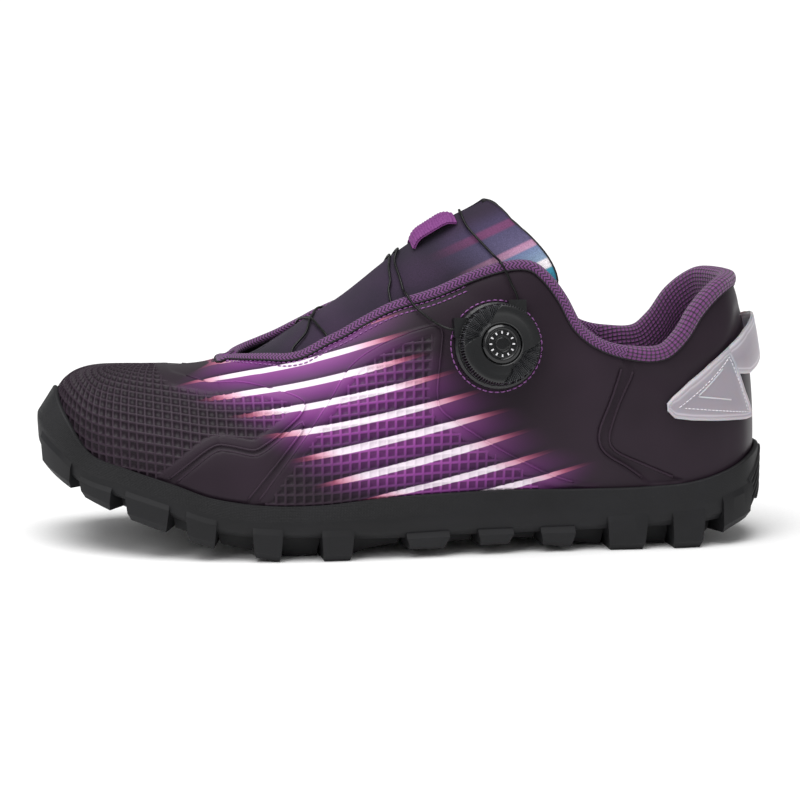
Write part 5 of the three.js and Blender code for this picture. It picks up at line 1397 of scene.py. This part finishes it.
def heel_loop():
    """Cast loop: a stitched plate on each side of the heel, and the strap between them."""
    bands, seams, chevrons = [], [], []
    for side in (0, 1):
        plate = [(abs(BACK * side - u), *rest) for u, *rest in LOOP_PLATE][::1 - 2 * side]
        bands.append(cast_band(plate, LOOP_BORDER["sunk"]))
        for corners, lift, found in ((LOOP_SEAM, 1.55, seams), (LOOP_CHEVRON, 1.5, chevrons)):
            closed = corners + corners[:1] if found is seams else corners
            line = np.concatenate([np.linspace(a, b, 16)[:-1] for a, b in zip(closed, closed[1:])])
            u = np.abs(BACK * side - line[:, 0])
            path = on_heel(u, line[:, 1], lift)
            found.append((path, skin_frame(u, np.full(len(u), 0.3))[4]))
    strap = LOOP_STRAP + tuple((BACK - u, *rest) for u, *rest in LOOP_STRAP[-2::-1])
    bands.append(cast_band(strap, 0))
    border = np.concatenate([edge for _, edge in bands])
    piece("heel_loop_cast", *joined([sheet for sheet, _ in bands]), CAST, ["heel_loop"], {"border": border})
    points, faces = joined([tube(path, LOOP_CHEVRON_RADIUS, 8) for path, _ in chevrons])
    # The chevron takes the colour at the border's outer edge, the painted edge highlight.
    piece("heel_loop_chevron", points, faces, CAST, fields={"border": np.zeros(len(points))})
    piece("heel_loop_stitching", *joined([stitches(path, normal, 1.7, 1.3, 0.24, 0.05)
                                          for path, normal in seams]), PALE_THREAD)


# Tab on the tongue
TAB_WIDTH = 18
TAB_THICKNESS = 0.9
TAB_RISE = 2.6
TAB_AT = 0.502
TAB_LENGTH = 16.5
TAB_BEND = 0.012  # its sides lag behind its middle by this much of the square of the distance
TAB_RIB = 0.12
TAB_POINTS = (140, 40)
TAB_RIBS = (8, 12.5)  # ribs of the last that it may lie between


def over_crown(x, y, lift):
    """A place lift above the skin at x, y near the crown."""
    x, y = np.broadcast_arrays(x, y)
    u = np.linspace(*TAB_RIBS, 300)
    made = np.empty(x.shape + (3,))
    for index in np.ndindex(x.shape):
        sided = u if y[index] < 0 else BACK - u
        low, high = np.zeros(len(u)), np.full(len(u), QUARTER - 0.03)
        for _ in range(22):
            middle = (low + high) / 2
            inside = np.abs(skin(sided, middle)[:, 1] - rib(sided)[:, CROWN_Y]) < abs(y[index])
            high, low = np.where(inside, middle, high), np.where(inside, low, middle)
        line = skin(sided, high)
        passed = np.argmax(line[:, 0] > x[index])
        made[index] = off_skin(sided[passed], high[passed], lift[index])
    return made


def tongue_tab():
    """Folded grosgrain ribbon, sewn down at both ends."""
    steps, across = 12, 8
    t, s = np.meshgrid(np.linspace(0, 1, steps), np.linspace(-1, 1, across), indexing="ij")
    y = s * TAB_WIDTH / 2
    x = (TAB_AT + TAB_LENGTH / LENGTH * t - 0.5) * LENGTH + TAB_BEND * y * y
    rise = np.minimum(1, 4.5 * np.minimum(t, 1 - t)) ** 0.6
    coarse = over_crown(x, y, TAB_RISE * rise - UPPER_WALL - TONGUE_DROP + 0.2)
    fine = through(through(coarse, TAB_POINTS[0], axis=0), TAB_POINTS[1], axis=1)
    up = unit(np.cross(np.gradient(fine, axis=1), np.gradient(fine, axis=0)))
    up = up * np.sign(up[..., 2:3])
    ribs = TAB_RIB * np.cos(np.arange(TAB_POINTS[0]) * math.pi / 4)[:, None]
    outer = fine + up * (TAB_THICKNESS + ribs)[..., None]
    piece("tongue_tab_ribbon", *closed_sheet(outer, fine), RIBBON, ["tongue_tab"])


def insole():
    """Foam insole under its cover cloth, turned up at the edge."""
    columns = stations(2.5)
    r = rib(columns)
    edge = r[:, INSET] + UPPER_WALL + 2 * GAP
    floor = r[:, FLOOR]
    lines = np.stack([
        beside_sole(columns, -edge - 1, floor + GAP),
        beside_sole(columns, -edge, floor + GAP + 0.8),
        beside_sole(columns, -edge, floor + INSOLE_THICKNESS + 1),
        beside_sole(columns, -edge - 1.2, floor + INSOLE_THICKNESS + 1),
        beside_sole(columns, -edge - 7, floor + INSOLE_THICKNESS),
    ], axis=1)
    rings = round_corners(lines, 0.8)
    count, size = rings.shape[:2]
    rows = [rings.reshape(-1, 3)]
    faces = [tuple(face) for face in grid_faces(count, size, loop_rows=True)]
    half = count // 2
    across = 26
    for level, flip in ((0, True), (size - 1, False)):
        left = rings[:half + 1, level]
        right = rings[np.arange(0, -half - 1, -1) % count, level]
        share = np.linspace(0, 1, across)[None, :, None]
        sheet = left[:, None] + (right - left)[:, None] * share
        first = sum(len(row) for row in rows)
        rows.append(sheet.reshape(-1, 3))
        cells = grid_faces(half + 1, across, first=first)
        faces += [tuple(cell if flip else cell[::-1]) for cell in cells]
    points = np.concatenate(rows)
    fields = {"along": points[:, 0] + 200, "around": points[:, 1] + 200}
    made = piece("insole_padded", points, faces, COVER, ["insole"], fields)
    weld(made.data)


upper()
upper_grid()
ridges()
outsole_cup()
outsole_lugs()
heel_ribs()
tongue()
lining()
throat_stitches()
dial_knob()
dial_cap()
dial_stitches()
cords()
heel_loop()
tongue_tab()
insole()
dial_base()


# Camera, floor and light
FLOOR_REACH = 15  # metres from its middle to its side
WORLD_STRENGTH = 0.34
CAMERA = {"azimuth": -7, "elevation": 9, "roll": 0.75, "distance": 1311.8, "lens": 148, "sensor": 36,
          "target": (-1.32, 0, 54.8)}


def aim(made, right, up, back, place):
    """Stands a camera or a lamp at a place and turns it."""
    rows = [(*row, where) for row, where in zip(np.stack([right, up, back], 1), place)]
    made.matrix_world = Matrix(rows + [(0, 0, 0, 1)])
    bpy.context.collection.objects.link(made)


def place_camera():
    azimuth, elevation, roll = (math.radians(CAMERA[name]) for name in ("azimuth", "elevation", "roll"))
    back = np.array([math.sin(azimuth) * math.cos(elevation), -math.cos(azimuth) * math.cos(elevation),
                     math.sin(elevation)])
    right = np.array([math.cos(azimuth), math.sin(azimuth), 0])
    up = np.cross(back, right)
    level = right * math.cos(roll) + up * math.sin(roll)
    upright = up * math.cos(roll) - right * math.sin(roll)
    data = bpy.data.cameras.new("photo_camera")
    data.lens, data.sensor_width = CAMERA["lens"], CAMERA["sensor"]
    data.clip_end = 100
    camera = bpy.data.objects.new("photo_camera", data)
    aim(camera, level, upright, back, (np.array(CAMERA["target"]) + CAMERA["distance"] * back) * MM)
    bpy.context.scene.camera = camera


def lamp(name, kind, place, **settings):
    """A lamp at a place in metres, turned to the middle of the shoe."""
    data = bpy.data.lights.new(name, kind)
    for setting, value in settings.items():
        setattr(data, setting, value)
    back = unit(np.array(place) - (0, 0, 0.05))
    right = unit(np.cross([0, 1, 0], back))
    aim(bpy.data.objects.new(name, data), right, np.cross(back, right), back, place)


def studio():
    """White seamless floor in a pale room, with a wide soft lamp overhead and a smaller one at the side."""
    mesh = bpy.data.meshes.new("floor")
    corners = [(x * FLOOR_REACH, y * FLOOR_REACH, 0) for x, y in ((-1, -1), (1, -1), (1, 1), (-1, 1))]
    mesh.from_pydata(corners, [], [(0, 1, 2, 3)])
    floor = bpy.data.objects.new("floor", mesh)
    bpy.context.collection.objects.link(floor)
    paper, tree, shader = new_material("white_paper_sweep", roughness=0.9)
    place = node(tree, "ShaderNodeTexCoord").outputs["Object"]
    fibre = node(tree, "ShaderNodeTexNoise", {"Vector": place, "Scale": per_mm(1.5), "Detail": 2})
    tone = node(tree, "ShaderNodeValToRGB", {"Fac": fibre}, [(0.3, "#fbfbfb"), (0.7, "#ffffff")])
    dress(tree, shader, tone, fibre, 0.1, 0.02)
    mesh.materials.append(paper)
    world = bpy.data.worlds.new("white_room")
    world.use_nodes = True
    surround = world.node_tree.nodes["Background"]
    surround.inputs["Color"].default_value = (1, 1, 1, 1)
    surround.inputs["Strength"].default_value = WORLD_STRENGTH
    bpy.context.scene.world = world
    lamp("ceiling", "SUN", (-0.25, -0.35, 1.7), energy=2.7, angle=math.radians(50))
    lamp("window", "AREA", (-0.9, -1.2, 1.0), energy=5, size=0.8)
    bpy.context.scene.view_settings.view_transform = "Standard"


place_camera()
studio()
